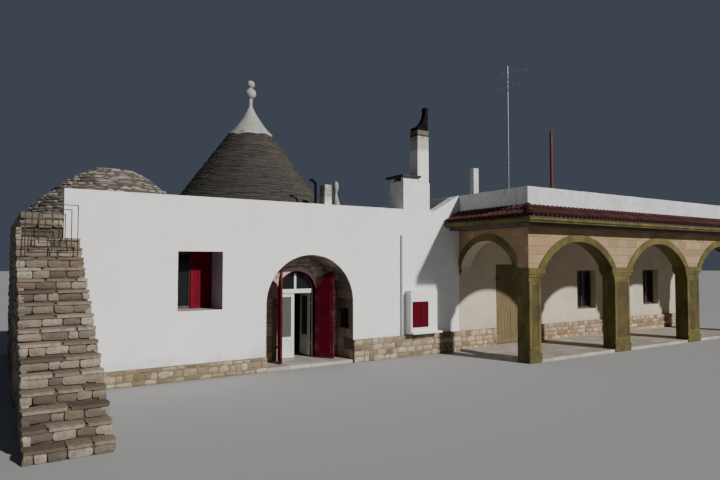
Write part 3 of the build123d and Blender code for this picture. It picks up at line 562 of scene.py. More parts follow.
# Both glasses are opaque; their dark colours are painted shade of the rooms behind them.
GLASS = glass("window_glass", (0.010, 0.011, 0.012), mirror=0.25)
DOOR_GLASS = glass("door_glass", (0.085, 0.092, 0.080), mirror=0.4)
for paint in (RED_DOOR, RED_WOOD, SHUTTER_RED, RED_FRAME, CRIMSON_EDGE, SOOTY_METAL):
    shine(paint, 0.08)


# Making and placing meshes

@contextlib.contextmanager
def opened(mesh):
    """A mesh opened for editing, and written back afterwards."""
    shape = bmesh.new()
    shape.from_mesh(mesh)
    yield shape
    shape.to_mesh(mesh)
    shape.free()


def made_mesh(name, points, faces, tones=None):
    """A mesh with its outward faces turned out."""
    mesh = bpy.data.meshes.new(name)
    mesh.from_pydata([tuple(p) for p in points], [], faces)
    if tones is not None:
        layer = mesh.attributes.new("tone", "FLOAT", "POINT")
        layer.data.foreach_set("value", np.asarray(tones, dtype=np.float32))
    with opened(mesh) as shape:
        bmesh.ops.recalc_face_normals(shape, faces=shape.faces)
    return mesh


def placed(name, data):
    """A new object in the scene."""
    made = bpy.data.objects.new(name, data)
    bpy.context.scene.collection.objects.link(made)
    return made


def piece(name, mesh, slot, *looks, body="house", smooth=35):
    """An object that shows a mesh and rides on a body."""
    for look in looks:
        mesh.materials.append(look)
    mesh.shade_smooth()
    mesh.set_sharp_from_angle(angle=math.radians(smooth))
    made = placed(name, mesh)
    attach(made, body)
    return made


def modify(made, kind, **settings):
    """Add a modifier to an object."""
    added = made.modifiers.new(kind.lower(), kind)
    for name, value in settings.items():
        setattr(added, name, value)


def dress(node, look, rounding=0.0, segments=2):
    """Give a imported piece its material, and round its sharp edges."""
    made = nodes[node]
    made.data.materials.clear()
    made.data.materials.append(look)
    if rounding:
        modify(made, "WELD", merge_threshold=WELD)
        modify(
            made, "BEVEL", width=rounding, segments=segments, limit_method="ANGLE",
            angle_limit=math.radians(40),
        )


def second_look(mesh, look, wanted):
    """Another material on the faces that a test picks."""
    mesh.materials.append(look)
    for polygon in mesh.polygons:
        if wanted(polygon):
            polygon.material_index = 1


class Solids:
    """Closed shapes gathered into one mesh."""

    def __init__(self):
        self.points = []
        self.faces = []
        self.tones = []

    def add(self, points, faces, tone=0.5):
        """Add one closed shape."""
        start = len(self.points)
        self.points.extend(tuple(map(float, p)) for p in points)
        self.faces.extend(tuple(start + i for i in face) for face in faces)
        self.tones.extend([tone] * len(points))

    def block(self, x0, x1, y0, y1, z0, z1, chamfer=0.004, tone=0.5):
        """A box with its edges cut at 45 degrees."""
        c = min(chamfer, (x1 - x0) / 3, (y1 - y0) / 3, (z1 - z0) / 3)
        points = []
        for z, inset in ((z0, c), (z0 + c, 0), (z1 - c, 0), (z1, c)):
            a0, a1, b0, b1 = x0 + inset, x1 - inset, y0 + inset, y1 - inset
            k = c if inset == 0 else 0.0
            points += [
                (a0 + k, b0, z), (a1 - k, b0, z), (a1, b0 + k, z), (a1, b1 - k, z),
                (a1 - k, b1, z), (a0 + k, b1, z), (a0, b1 - k, z), (a0, b0 + k, z),
            ]
        self.add(points, tube_faces(4, 8), tone)

    def boards(self, x0, x1, y0, y1, z0, z1, width=BOARD_WIDTH):
        """Upright boards side by side in a panel."""
        count = max(1, round((x1 - x0) / width))
        step = (x1 - x0) / count
        for board in range(count):
            left = x0 + board * step
            self.block(left + 0.001, left + step - 0.001, y0, y1, z0, z1, 0.004, board / count)

    def beading(self, x0, x1, y0, y1, z0, z1, width=BEAD_WIDTH):
        """A thin frame round a panel."""
        for low, high in ((z0, z0 + width), (z1 - width, z1)):
            self.block(x0, x1, y0, y1, low, high)
        for low, high in ((x0, x0 + width), (x1 - width, x1)):
            self.block(low, high, y0, y1, z0 + width, z1 - width)

    def mesh(self, name):
        """The gathered mesh."""
        return made_mesh(name, self.points, self.faces, self.tones)

    def piece(self, name, slot, look, **settings):
        """The gathered mesh as a piece."""
        return piece(name, self.mesh(name), slot, look, **settings)


def tube_faces(rings, sides):
    """Faces of a closed stack of rings."""
    faces = [tuple(range(sides))[::-1], tuple((rings - 1) * sides + i for i in range(sides))]
    for ring in range(rings - 1):
        for i in range(sides):
            j = (i + 1) % sides
            a, b = ring * sides, (ring + 1) * sides
            faces.append((a + i, a + j, b + j, b + i))
    return faces


def lathe(name, profile, centre, sides, wave, seed):
    """A turned closed shape from points of radius and height, a little uneven."""
    points = []
    for radius, height in profile:
        for i in range(sides):
            angle = 2 * math.pi * i / sides
            p = Vector((math.cos(angle), math.sin(angle), 0))
            shift = wave * noise.noise(Vector((p.x * 1.7 + seed, p.y * 1.7, height * 2.2)))
            points.append(centre + p * (radius + shift * min(1, radius * 4)) + Vector((0, 0, height)))
    return made_mesh(name, points, tube_faces(len(profile), sides))


# Stones

class Stones(Solids):
    """Rough stones, each a closed block with a domed and uneven face."""

    def __init__(self, side, seed, squareness=40):
        super().__init__()
        self.random = random.Random(seed)
        steps = np.linspace(-1, 1, side)
        x, y = (g.ravel() for g in np.meshgrid(steps, steps, indexing="ij"))
        reach = np.maximum(abs(x), abs(y))
        size = (abs(x) ** squareness + abs(y) ** squareness) ** (1 / squareness)
        draw_in = np.where(reach > 0, reach / np.maximum(size, 1e-6), 1)
        self.a, self.b = (1 + x * draw_in) / 2, (1 + y * draw_in) / 2
        self.dome = np.sqrt(1 - reach)
        grid = np.arange(side * side).reshape(side, side)
        ring = [*grid[:-1, 0], *grid[-1, :-1], *grid[:0:-1, -1], *grid[0, :0:-1]]
        self.ring = np.array(ring)
        count = len(ring)
        back = side * side + np.arange(count)
        faces = [
            (grid[i, j], grid[i + 1, j], grid[i + 1, j + 1], grid[i, j + 1])
            for i in range(side - 1) for j in range(side - 1)
        ]
        faces += [
            (ring[k], back[k], back[(k + 1) % count], ring[(k + 1) % count]) for k in range(count)
        ]
        self.pattern = [tuple(int(i) for i in face) for face in [*faces, back]]

    def lay(self, corners, place, front, back, bulge, rough, tone=None, lean=0.0):
        """One stone between four corners (u, v), from its back depth to its front."""
        a, b = self.a, self.b
        u, v = (
            (1 - a) * (1 - b) * c0 + a * (1 - b) * c1 + a * b * c2 + (1 - a) * b * c3
            for c0, c1, c2, c3 in zip(*corners)
        )
        wobble = np.array([self.random.uniform(-1, 1) for _ in a])
        depth = front + bulge * (self.dome - 1) + rough * wobble + lean * (0.5 - b)
        u = np.concatenate([u, u[self.ring]])
        v = np.concatenate([v, v[self.ring]])
        depth = np.concatenate([depth, np.full(len(self.ring), back)])
        points = np.clip(np.stack(place(u, v, depth), axis=1), *cad_box)
        self.add(points, self.pattern, self.random.random() if tone is None else tone)

    def jittered(self, u0, u1, v0, v1, gap, jitter, unit=1.0):
        """Four corners of a stone, drawn in by half a joint and moved a little."""
        draw = self.random.uniform
        half = gap / 2
        return [
            (u + (half * su + draw(-jitter, jitter)) * unit, v + half * sv + draw(-jitter, jitter))
            for u, v, su, sv in ((u0, v0, 1, 1), (u1, v0, -1, 1), (u1, v1, -1, -1), (u0, v1, 1, -1))
        ]

    def widths(self, length, low, high):
        """Random widths that fill a length."""
        found = []
        left = length
        while left > high:
            step = self.random.uniform(low, high)
            found.append(step)
            left -= step
        if left > low * 0.6 or not found:
            found.append(left)
        else:
            found[-1] += left
        return found

    def row(self, length, widths, start=0.0, unit=1.0):
        """The two ends of each stone in a row, along a length measured in some unit."""
        for width in self.widths(length, *widths):
            end = start + width / unit
            yield start, end
            start = end

    def wall(self, height, heights, widths, spans, place, front, gap, jitter, uneven, **shape):
        """Courses of stones over a height; spans gives the runs between two levels."""
        for low, high in self.row(height, heights):
            for start, end in spans(low, high):
                for u0, u1 in self.row(end - start, widths, start):
                    corners = self.jittered(u0, u1, low, high, gap, jitter)
                    reach = front + self.random.uniform(-1, 1) * uneven
                    self.lay(corners, place, reach, **shape)


def facing(origin, along=RIGHT, up=UP, out=FORWARD):
    """Places stones on a flat face, by distance along, up and out."""
    origin, along, up, out = (np.array(v, float)[:, None] for v in (origin, along, up, out))

    def place(u, v, d):
        return tuple(origin + along * u + up * v + out * d)

    return place


def whole(length, inset=0.0):
    """The same run of stones in each course."""
    return lambda low, high: [(inset, length - inset)]


def plain_copy(node):
    """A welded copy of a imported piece's mesh."""
    mesh = nodes[node].data.copy()
    mesh.materials.clear()
    with opened(mesh) as shape:
        bmesh.ops.remove_doubles(shape, verts=shape.verts, dist=WELD / 2)
    return mesh


def cone_stones():
    """Thin courses round the cone, each course laid a little over the one below."""
    centre = (cone_low + cone_high) / 2
    base = (cone_high.x - cone_low.x) / 2
    cap_low, cap_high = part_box("cone_cap")
    height = cone_high.z - cone_low.z
    tilt = math.atan2(base - (cap_high.x - cap_low.x) / 2, height)
    slope = height / math.cos(tilt)
    stones = Stones(3, 11)
    draw = stones.random

    def place(u, v, d):
        radius = base - v * math.sin(tilt) + d * math.cos(tilt)
        level = cone_low.z + v * math.cos(tilt) + d * math.sin(tilt)
        return centre.x + radius * np.cos(u), centre.y + radius * np.sin(u), level

    v = 0.0
    while v < slope - CONE_COURSE * 0.5:
        course = min(CONE_COURSE * draw.uniform(0.85, 1.2), slope - v)
        radius = base - v * math.sin(tilt)
        widths = stones.widths(2 * math.pi * radius, *CONE_STONE)
        u = draw.random()
        band = draw.uniform(-0.08, 0.08)
        for width in widths:
            turn = width / radius
            corners = stones.jittered(
                u, u + turn, v, v + course, gap=0.006, jitter=0.005, unit=1 / radius
            )
            front = 0.012 + draw.uniform(-0.007, 0.009)
            # Stones toward that side get a lighter tone, as painted light.
            painted_light = max(0, math.cos(u + turn / 2 - PAINTED_LIGHT_SIDE))
            tone = min(1, max(0, draw.gauss(0.16 + 0.5 * painted_light, 0.12) + band))
            stones.lay(
                corners, place, front, back=-0.05, bulge=0.009, rough=0.003, tone=tone, lean=0.014
            )
            u += turn
        v += course
    stones.piece("cone_courses", "cone_stone", CONE_STONE_LOOK)


def dome_stones():
    """Flat rubble laid round the low dome in rough courses, up to where the cone hides it."""
    low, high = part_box("low_dome")
    centre = Vector((low.x + DOME_OUTLINE[0][0], (low.y + high.y) / 2, low.z))
    mesh = plain_copy("low_dome")
    for vertex in mesh.vertices:
        vertex.co = centre + (vertex.co - centre) * DOME_CORE
    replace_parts(piece("low_dome_core", mesh, "rubble_stone", PALE_MORTAR), "low_dome")
    lengths = [0.0]
    for (r0, z0), (r1, z1) in zip(DOME_OUTLINE, DOME_OUTLINE[1:]):
        lengths.append(lengths[-1] + math.hypot(r1 - r0, z1 - z0))
    stones = Stones(5, 23, 5)
    draw = stones.random

    def outline(v):
        return [np.interp(v, lengths, values) for values in zip(*DOME_OUTLINE)]

    def place(u, v, d):
        r, z = outline(v)
        (r0, z0), (r1, z1) = outline(v - 0.02), outline(v + 0.02)
        dr, dz = r1 - r0, z1 - z0
        size = np.hypot(dr, dz) + 1e-9
        r = r + d * dz / size
        z = z - d * dr / size
        return centre.x + r * np.cos(u), centre.y + r * np.sin(u), centre.z + z

    v = 0.0
    while v < lengths[-1] - 0.05:
        course = min(DOME_COURSE * draw.uniform(0.7, 1.35), lengths[-1] - v)
        radius = float(outline(v + course / 2)[0])
        for u0, u1 in stones.row(2 * math.pi * radius, DOME_STONE, draw.random(), radius):
            x = centre.x + radius * math.cos((u0 + u1) / 2)
            if x < cone_low.x + 0.25 + v * 0.7:
                corners = stones.jittered(
                    u0, u1, v, v + course, gap=0.022, jitter=0.016, unit=1 / radius
                )
                front = -0.002 + draw.uniform(-0.018, 0.018)
                stones.lay(corners, place, front, back=-0.09, bulge=0.030, rough=0.010, lean=0.03)
        v += course
    stones.piece("dome_rubble", "rubble_stone", DOME_STONE_LOOK)


def drawn_in(node, left=0.0, right=0.0, front=0.0, back=0.0, top=0.0):
    """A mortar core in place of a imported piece, a little inside its outer faces."""
    low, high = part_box(node)
    mesh = plain_copy(node)
    for vertex in mesh.vertices:
        p = vertex.co
        if p.x < low.x + 0.001:
            p.x += left
        elif p.x > high.x - 0.001:
            p.x -= right
        p.y += front if p.y < high.y - 0.001 else -back
        if low.z + 0.001 < p.z < high.z - 0.001:
            p.z -= top
    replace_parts(piece(node + "_core", mesh, "rubble_stone", PALE_MORTAR), node)


def stair_stones():
    """Rubble risers and sides, and rough slabs on the treads."""
    drawn_in("roof_stair", left=0.04, right=0.04, front=0.065, top=0.035)
    rise = stair_high.z / STEP_COUNT
    foot = FRONT - (STEP_COUNT - 1) * STEP_DEPTH
    left, width = stair_low.x, stair_high.x - stair_low.x
    stones = Stones(5, 31, 7)
    slabs = Stones(5, 37, 8)
    shape = dict(gap=0.010, jitter=0.011, uneven=0.007, back=-0.12, bulge=0.020, rough=0.007)
    for step in range(1, STEP_COUNT):
        y = foot + (step - 1) * STEP_DEPTH
        stones.wall(
            rise - NOSING_HEIGHT, (0.10, 0.16), (0.13, 0.40), whole(width, 0.012),
            facing((left, y, (step - 1) * rise)), -NOSING + 0.006, **shape,
        )
        place = facing((left, y, step * rise), RIGHT, BACK, UP)
        for u0, u1 in slabs.row(width, (0.3, 0.62)):
            corners = slabs.jittered(u0, u1, 0.004, STEP_DEPTH + 0.06, gap=0.010, jitter=0.008)
            corners = [(min(max(u, 0.002), width - 0.002), v) for u, v in corners]
            slabs.lay(corners, place, -0.002, back=-NOSING_HEIGHT, bulge=0.014, rough=0.003)
    for x, out, end, top in (
        (left, LEFT, stair_high.y - foot, stair_high.z),
        (stair_high.x, RIGHT, FRONT - foot, (STEP_COUNT - 1) * rise - NOSING_HEIGHT),
    ):
        def side_spans(low, high, end=end):
            step = min(STEP_COUNT - 1, int((high + NOSING_HEIGHT * 0.5) / rise))
            return [(step * STEP_DEPTH + NOSING, end)]

        place = facing((x, foot, 0), BACK, UP, out)
        stones.wall(top, (0.09, 0.19), (0.14, 0.42), side_spans, place, -0.010, **shape)
    stones.piece("stair_rubble", "rubble_stone", RUBBLE)
    slabs.piece("stair_slabs", "rubble_stone", RUBBLE)


def wall_stones():
    """Rubble on the left end wall and on the plinths."""
    drawn_in("left_end_wall", back=0.035)
    low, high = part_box("left_end_wall")
    thickness = high.x - low.x
    stones = Stones(5, 41, 6)
    shape = dict(gap=0.014, jitter=0.014, uneven=0.010, back=-0.10, bulge=0.022, rough=0.008)

    def end_spans(bottom, top):
        return [(0.0, high.y - (FRONT if bottom > low.z + END_WALL_SHOULDER else low.y))]

    place = facing((low.x, high.y, 0), FORWARD, UP, LEFT)
    stones.wall(ROOF_TOP, (0.12, 0.24), (0.18, 0.5), end_spans, place, 0.024, **shape)
    place = facing((high.x, high.y, 0), LEFT, UP, BACK)
    stones.wall(ROOF_TOP, (0.12, 0.24), (0.18, 0.4), whole(thickness), place, -0.014, **shape)
    place = facing((low.x, FRONT, high.z))
    over = ROOF_TOP - high.z
    stones.wall(over, (0.12, 0.18), (0.18, 0.4), whole(thickness), place, 0.020, **shape)
    stones.piece("end_wall_rubble", "rubble_stone", RUBBLE)

    plinth = Stones(5, 43, 6)
    porch = Stones(5, 47, 6)
    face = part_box("stone_plinth")[0].y
    shape.update(back=-0.055, jitter=0.012)
    for stones, x0, x1, top in (
        (plinth, stair_high.x, arch_low.x, PLINTH_TOP),
        (plinth, arch_high.x, wing_low.x, PORCH_PLINTH_TOP),
        (porch, wing_low.x, wing_low.x + PORCH_STEP[0], PORCH_PLINTH_TOP),
        (porch, wing_low.x + PORCH_STEP[1], wing_high.x, PORCH_PLINTH_TOP),
    ):
        place = facing((x0, face, 0))
        stones.wall(top, (0.10, 0.19), (0.13, 0.38), whole(x1 - x0), place, 0.024, **shape)
    plinth.piece("plinth_rubble", "rubble_stone", PLINTH_STONE)
    porch.piece("porch_plinth_rubble", "rubble_stone", PORCH_RUBBLE)


def arch_lining():
    """Rough dark blocks on the reveals and the vault of the entrance recess."""
    jamb = ARCH_SPRINGING - FLOOR_TOP
    curve = math.pi * ARCH_RADIUS
    total = 2 * jamb + curve
    depth = RECESS_BACK - FRONT

    def place(u, v, d):
        reach = ARCH_RADIUS - d
        turn = np.clip((u - jamb) / ARCH_RADIUS, 0, math.pi)
        z = ARCH_SPRINGING + reach * np.sin(turn)
        z = np.where(u < jamb, FLOOR_TOP + u, z)
        z = np.where(u > jamb + curve, FLOOR_TOP + (total - u), z)
        return ARCH_CENTRE - reach * np.cos(turn), FRONT + v, z

    stones = Stones(5, 53, 8)
    niche_low, niche_high = NICHE_BOTTOM - 0.08, NICHE_BOTTOM + NICHE_HEIGHT + 0.08
    for u0, u1 in stones.row(total, (0.20, 0.34)):
        level = FLOOR_TOP + total - (u0 + u1) / 2
        at_niche = u0 > jamb + curve and niche_low < level < niche_high
        for v0, v1 in stones.row(depth, (0.24, 0.48)):
            if at_niche and v1 > NICHE_FRONT and v0 < NICHE_FRONT + NICHE_WIDTH:
                continue
            corners = stones.jittered(
                u0, u1, max(v0, 0.006), min(v1, depth), gap=0.014, jitter=0.009
            )
            corners = [(u, max(0.002, v)) for u, v in corners]
            front = LINING_REACH + stones.random.uniform(-0.012, 0.004)
            stones.lay(corners, place, front, back=-0.03, bulge=0.016, rough=0.005)
    stones.piece("arch_lining", "rubble_stone", LINING)


def recess_back():
    """Pale rubble on the back of the recess, under its arch and round the doorway's band."""

    def spans(low, high):
        top = FLOOR_TOP + high - ARCH_SPRINGING
        if top >= ARCH_RADIUS - 0.05:
            return []
        reach = math.sqrt(ARCH_RADIUS ** 2 - max(0, top) ** 2)
        middle = max(0, FLOOR_TOP + low - DOOR_SPRINGING + (high - low) / 2)
        if middle >= BAND_RADIUS:
            return [(-reach, reach)]
        clear = math.sqrt(BAND_RADIUS ** 2 - middle ** 2)
        return [(-reach, -clear), (clear, reach)]

    height = (2 * (ARCH_SPRINGING - FLOOR_TOP) + math.pi * ARCH_RADIUS) / 2
    stones = Stones(5, 59, 8)
    stones.wall(
        height, (0.09, 0.15), (0.14, 0.32), spans, facing((ARCH_CENTRE, RECESS_BACK, FLOOR_TOP)),
        front=0.018, gap=0.012, jitter=0.010, uneven=0.006, back=-0.04, bulge=0.016, rough=0.005,
    )
    # These stones' paler colour is painted light.
    stones.piece("recess_back", "rubble_stone", BACK_STONE_PAINTED_LIGHT)


# White masonry

def combined(operation, *meshes):
    """The exact union of meshes, or the first without the others."""
    base, *others = [placed(mesh.name, mesh) for mesh in meshes]
    group = bpy.data.collections.new("operands")
    bpy.context.scene.collection.children.link(group)
    for other in others:
        group.objects.link(other)
    modify(
        base, "BOOLEAN", operation=operation, operand_type="COLLECTION", collection=group,
        solver="EXACT",
    )
    graph = bpy.context.evaluated_depsgraph_get()
    mesh = bpy.data.meshes.new_from_object(base.evaluated_get(graph))
    for made in [base, *others]:
        bpy.data.objects.remove(made)
    bpy.data.collections.remove(group)
    return mesh


def hand_laid(mesh, look_at):
    """Round the corners of masonry, make its faces uneven and pick each face's material."""
    with opened(mesh) as shape:
        bmesh.ops.dissolve_limit(
            shape, angle_limit=math.radians(1), verts=shape.verts, edges=shape.edges
        )
        sharp = [
            e for e in shape.edges
            if len(e.link_faces) == 2 and e.calc_face_angle(0) > SHARP
        ]
        bmesh.ops.bevel(
            shape, geom=sharp, offset=CORNER_ROUNDING, segments=2, profile=0.5,
            affect="EDGES", clamp_overlap=True,
        )
        low = Vector(map(min, *[v.co for v in shape.verts]))
        high = Vector(map(max, *[v.co for v in shape.verts]))
        for axis, normal in enumerate((RIGHT, BACK, UP)):
            at = low[axis] + PLASTER_GRID / 2
            while at < high[axis]:
                geometry = [*shape.verts, *shape.edges, *shape.faces]
                point = Vector(normal) * at
                bmesh.ops.bisect_plane(shape, geom=geometry, plane_co=point, plane_no=normal)
                at += PLASTER_GRID
        for face in shape.faces:
            face.material_index = look_at(face.calc_center_median(), face.normal)
        shape.normal_update()
        for vertex in shape.verts:
            wave = noise.noise(vertex.co * 1.3) + 0.5 * noise.noise(vertex.co * 3.1)
            vertex.co -= vertex.normal * PLASTER_WAVE * (0.5 + 0.5 * wave)


def masonry_piece(name, mesh, looks):
    """Masonry whose large faces set its shading, so that rounded corners cast no streaks."""
    made = piece(name, mesh, "white_plaster", *looks, smooth=40)
    modify(made, "WEIGHTED_NORMAL", keep_sharp=True, weight=90)
    return made


def main_masonry():
    """The white walls, roof and parapet of the main block as one limewashed mass."""
    names = [
        "front_wall_left", "front_wall_right", "entrance_arch", "door_arch", "main_roof",
        "front_parapet", "chimney_block", "back_wall", "party_wall",
    ]
    mesh = combined("UNION", *[plain_copy(name) for name in names])
    niche = Solids()
    niche.block(
        arch_high.x - 0.05, arch_high.x + NICHE_DEPTH,
        FRONT + NICHE_FRONT, FRONT + NICHE_FRONT + NICHE_WIDTH,
        NICHE_BOTTOM, NICHE_BOTTOM + NICHE_HEIGHT, 0.0001,
    )
    mesh = combined("DIFFERENCE", mesh, niche.mesh("niche"))
    looks = [WHITE, ROOM_PAINTED_SHADE, REVEAL_PAINTED_SHADE, SCREED, RECESS_STONE, CRIMSON_EDGE, PALE_MORTAR]
    white, room, grey, screed, stony, crimson, rubble = range(7)
    window_right = shutter_high.x + 0.03
    window_left = 2 * shutter_low.x - shutter_high.x - 0.03
    inner = wall_high.y - 0.02
    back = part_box("back_wall")[0].y + 0.02
    end_face = wall_low.x - 0.03

    def inside(p, radius, springing):
        return math.hypot(p.x - ARCH_CENTRE, max(0, p.z - springing)) < radius

    def look_at(p, n):
        # Faces inside the rooms get the room colour, which is painted shade.
        if inner < p.y < back and p.z < ROOF_TOP - 0.05:
            return room
        if p.x < end_face and n.z < UPWARD:
            return rubble
        if n.z > UPWARD and ROOF_TOP - 0.05 < p.z < ROOF_TOP + 0.05:
            return screed
        # Inside the doorway, past its crimson edge, the faces get the room colour as painted shade.
        if RECESS_BACK + 0.015 < p.y < back and inside(p, DOOR_RADIUS + 0.03, DOOR_SPRINGING):
            return crimson if p.y < RECESS_BACK + EDGE_PAINT else room
        if FRONT + 0.02 < p.y < back and inside(p, ARCH_RADIUS + 0.03, ARCH_SPRINGING):
            return stony
        # The niche in the right reveal takes the dark brown mortar colour: painted shade inside the
        # niche.
        in_niche = p.x < arch_high.x + 0.5 and abs(p.z - NICHE_BOTTOM) < 2 * NICHE_HEIGHT
        if p.x > arch_high.x and in_niche and FRONT + 0.1 < p.y < RECESS_BACK:
            return rubble
        # Window reveals take the grey-mauve colour, painted shade in the recess.
        at_window = window_left < p.x < window_right and REVEAL_LOW < p.z < REVEAL_HIGH
        if at_window and FRONT + 0.02 < p.y < inner:
            return grey
        return white

    hand_laid(mesh, look_at)
    for vertex in mesh.vertices:
        if vertex.co.x < end_face and vertex.co.y > wall_low.y + 0.02:
            vertex.co.y = min(vertex.co.y, roof_high.y - 0.035)
    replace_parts(masonry_piece("white_masonry", mesh, looks), *names)


def wing_masonry():
    """The rooms behind the portico with their roof and parapet."""
    names = [
        "wing_front_wall_left", "wing_front_wall_right", "wing_end_wall", "wing_back_wall",
        "wing_roof", "wing_parapet",
    ]
    mesh = combined("UNION", *[plain_copy(name) for name in names])
    looks = [WING_WHITE, PORCH_WHITE, ROOM_PAINTED_SHADE, SCREED]
    white, porch, room, screed = range(4)
    wall_top = wing_low.z
    inner = FRONT + WING_WALL
    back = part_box("wing_back_wall")[0].y + 0.03

    def look_at(p, n):
        if p.z < wall_top + 0.05 and p.y < FRONT + 0.06 and n.z < -0.5:
            return porch
        end_face = p.x > wing_high.x - 0.03 and n.x > 0.3
        if p.z < wall_top and FRONT - 0.05 < p.y < inner and not end_face:
            return porch
        # Walls inside the wing's rooms get the room colour, which is painted shade.
        if p.z < wall_top + 0.05 and inner < p.y < back and p.x < wing_high.x - WING_WALL:
            return room
        if n.z > UPWARD and p.z < wing_high.z + 0.05:
            return screed
        return white

    hand_laid(mesh, look_at)
    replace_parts(masonry_piece("wing_masonry", mesh, looks), *names)


def small_masonry():
    """Chimney stack, flue, cupboard and the small chimney with softened corners."""
    stack_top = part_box("chimney_stack")[1].z
    small_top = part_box("small_chimney")[1].z
    for node, look in (
        ("wall_cupboard", WHITE), ("flue_stub", WING_WHITE),
        ("chimney_stack", stained_plaster(
            "stack_plaster", stack_top, grey_depth=0.38, brown_depth=0.12, brown=(0.34, 0.235, 0.16)
        )),
        ("small_chimney", stained_plaster(
            "flue_plaster", small_top, grey_depth=0.40, brown_depth=0.30, brown=(0.30, 0.21, 0.14)
        )),
    ):
        dress(node, look, SMALL_ROUNDING, 3)


def bulb_pinnacle():
    """A slim bulb on a flared foot in place of the plain small pinnacle."""
    low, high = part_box("small_pinnacle")
    centre = (low + high) / 2
    centre.z = low.z
    height = high.z - low.z
    profile = [
        (0.290, 0.0), (0.270, 0.18), (0.220, 0.36), (0.150, 0.51), (0.095, 0.62), (0.052, 0.71),
        (0.038, 0.76), (0.042, 0.79), (0.070, 0.83), (0.086, 0.87), (0.086, 0.91), (0.070, 0.96),
        (0.040, 0.99), (0.010, 1.0),
    ]
    profile = [(radius, share * height) for radius, share in profile]
    mesh = lathe("bulb_pinnacle", profile, centre, sides=32, wave=0.006, seed=9)
    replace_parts(piece("bulb_pinnacle", mesh, "white_plaster", CAP_WHITE), "small_pinnacle")


def cap_plaster():
    """The flared whitewashed cap, ragged over the cone's top courses."""
    low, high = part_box("cone_cap")
    centre = Vector(((low.x + high.x) / 2, (low.y + high.y) / 2, low.z))
    top = high.z - low.z
    wide = (high.x - low.x) / 2
    profile = [(wide + out, level) for out, level in (
        (0.080, -0.125), (0.100, -0.110), (0.055, -0.050), (0.018, 0.0),
    )]
    for part in range(1, CAP_PARTS + 1):
        share = part / CAP_PARTS
        radius = wide + (NECK_RADIUS - wide) * share - CAP_SAG * math.sin(math.pi * share)
        profile.append((max(NECK_RADIUS, radius), top * share))
    mesh = lathe("cap_plaster", profile, centre, CAP_SIDES, wave=0.012, seed=3)
    for vertex in mesh.vertices[:3 * CAP_SIDES]:
        ragged = noise.noise(vertex.co * 4.5) + 0.5 * noise.noise(vertex.co * 13)
        out = Vector((vertex.co.x - centre.x, vertex.co.y - centre.y, 0)) * 0.6
        vertex.co += (Vector(UP) - out) * 0.045 * ragged
    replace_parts(piece("cap_plaster", mesh, "white_plaster", CAP_WHITE), "cone_cap")


def ball_finial():
    """A large and a small ball on a neck, which stand on the cap."""
    low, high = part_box("pinnacle")
    centre = (low + high) / 2
    centre.z = low.z
    height = high.z - low.z
    big = (high.x - low.x) / 2
    upper_middle = height - SMALL_BALL
    low_middle = upper_middle - SMALL_BALL - big
    profile = [(NECK_RADIUS, -0.01), (NECK_RADIUS, low_middle - big * 0.97)]
    for radius, middle in ((big, low_middle), (SMALL_BALL, upper_middle)):
        for part in range(2, 15):
            angle = math.pi * part / 16
            profile.append((radius * math.sin(angle), middle - radius * math.cos(angle)))
    profile.append((0.012, height))
    mesh = lathe("ball_finial", profile, centre, sides=40, wave=0.004, seed=5)
    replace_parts(piece("ball_finial", mesh, "white_plaster", CAP_WHITE), "pinnacle")


# Portico

def pillar_panels():
    """Raised borders, dark panels and wider feet on the fronts of the pillars."""
    face = wing_low.y
    bottom, top = PANEL_SPAN
    edges = [(wing_low.x, wing_low.x + END_PILLAR_WIDTH)]
    for bay in range(2):
        left = wing_low.x + END_PILLAR_WIDTH + BAY_WIDTH * (bay + 1) + PILLAR_WIDTH * bay
        edges.append((left, left + PILLAR_WIDTH))
    edges.append((wing_high.x - END_PILLAR_WIDTH, wing_high.x))
    strips = Solids()
    panels = Solids()
    for left, right in edges:
        x0, x1, z0, z1 = left + PANEL_EDGE, right - PANEL_EDGE, bottom + PANEL_EDGE, top - PANEL_EDGE
        for a, b, low, high in (
            (left + 0.004, x0, bottom, top), (x1, right - 0.004, bottom, top),
            (x0, x1, z1, top), (x0, x1, bottom, z0),
        ):
            strips.block(a, b, face - PANEL_PROUD, face + PANEL_SEAT, low, high, chamfer=0.006)
        strips.block(
            left - 0.02, right + 0.02, face - 0.03, face + 0.02, 0.0, PILLAR_FOOT, chamfer=0.012
        )
        panels.block(x0, x1, face - 0.003, face + PANEL_SEAT, z0, z1, chamfer=0.001)
    strips.piece("pillar_borders", "ochre_render", OCHRE)
    panels.piece("pillar_panels", "ochre_render", OLIVE)


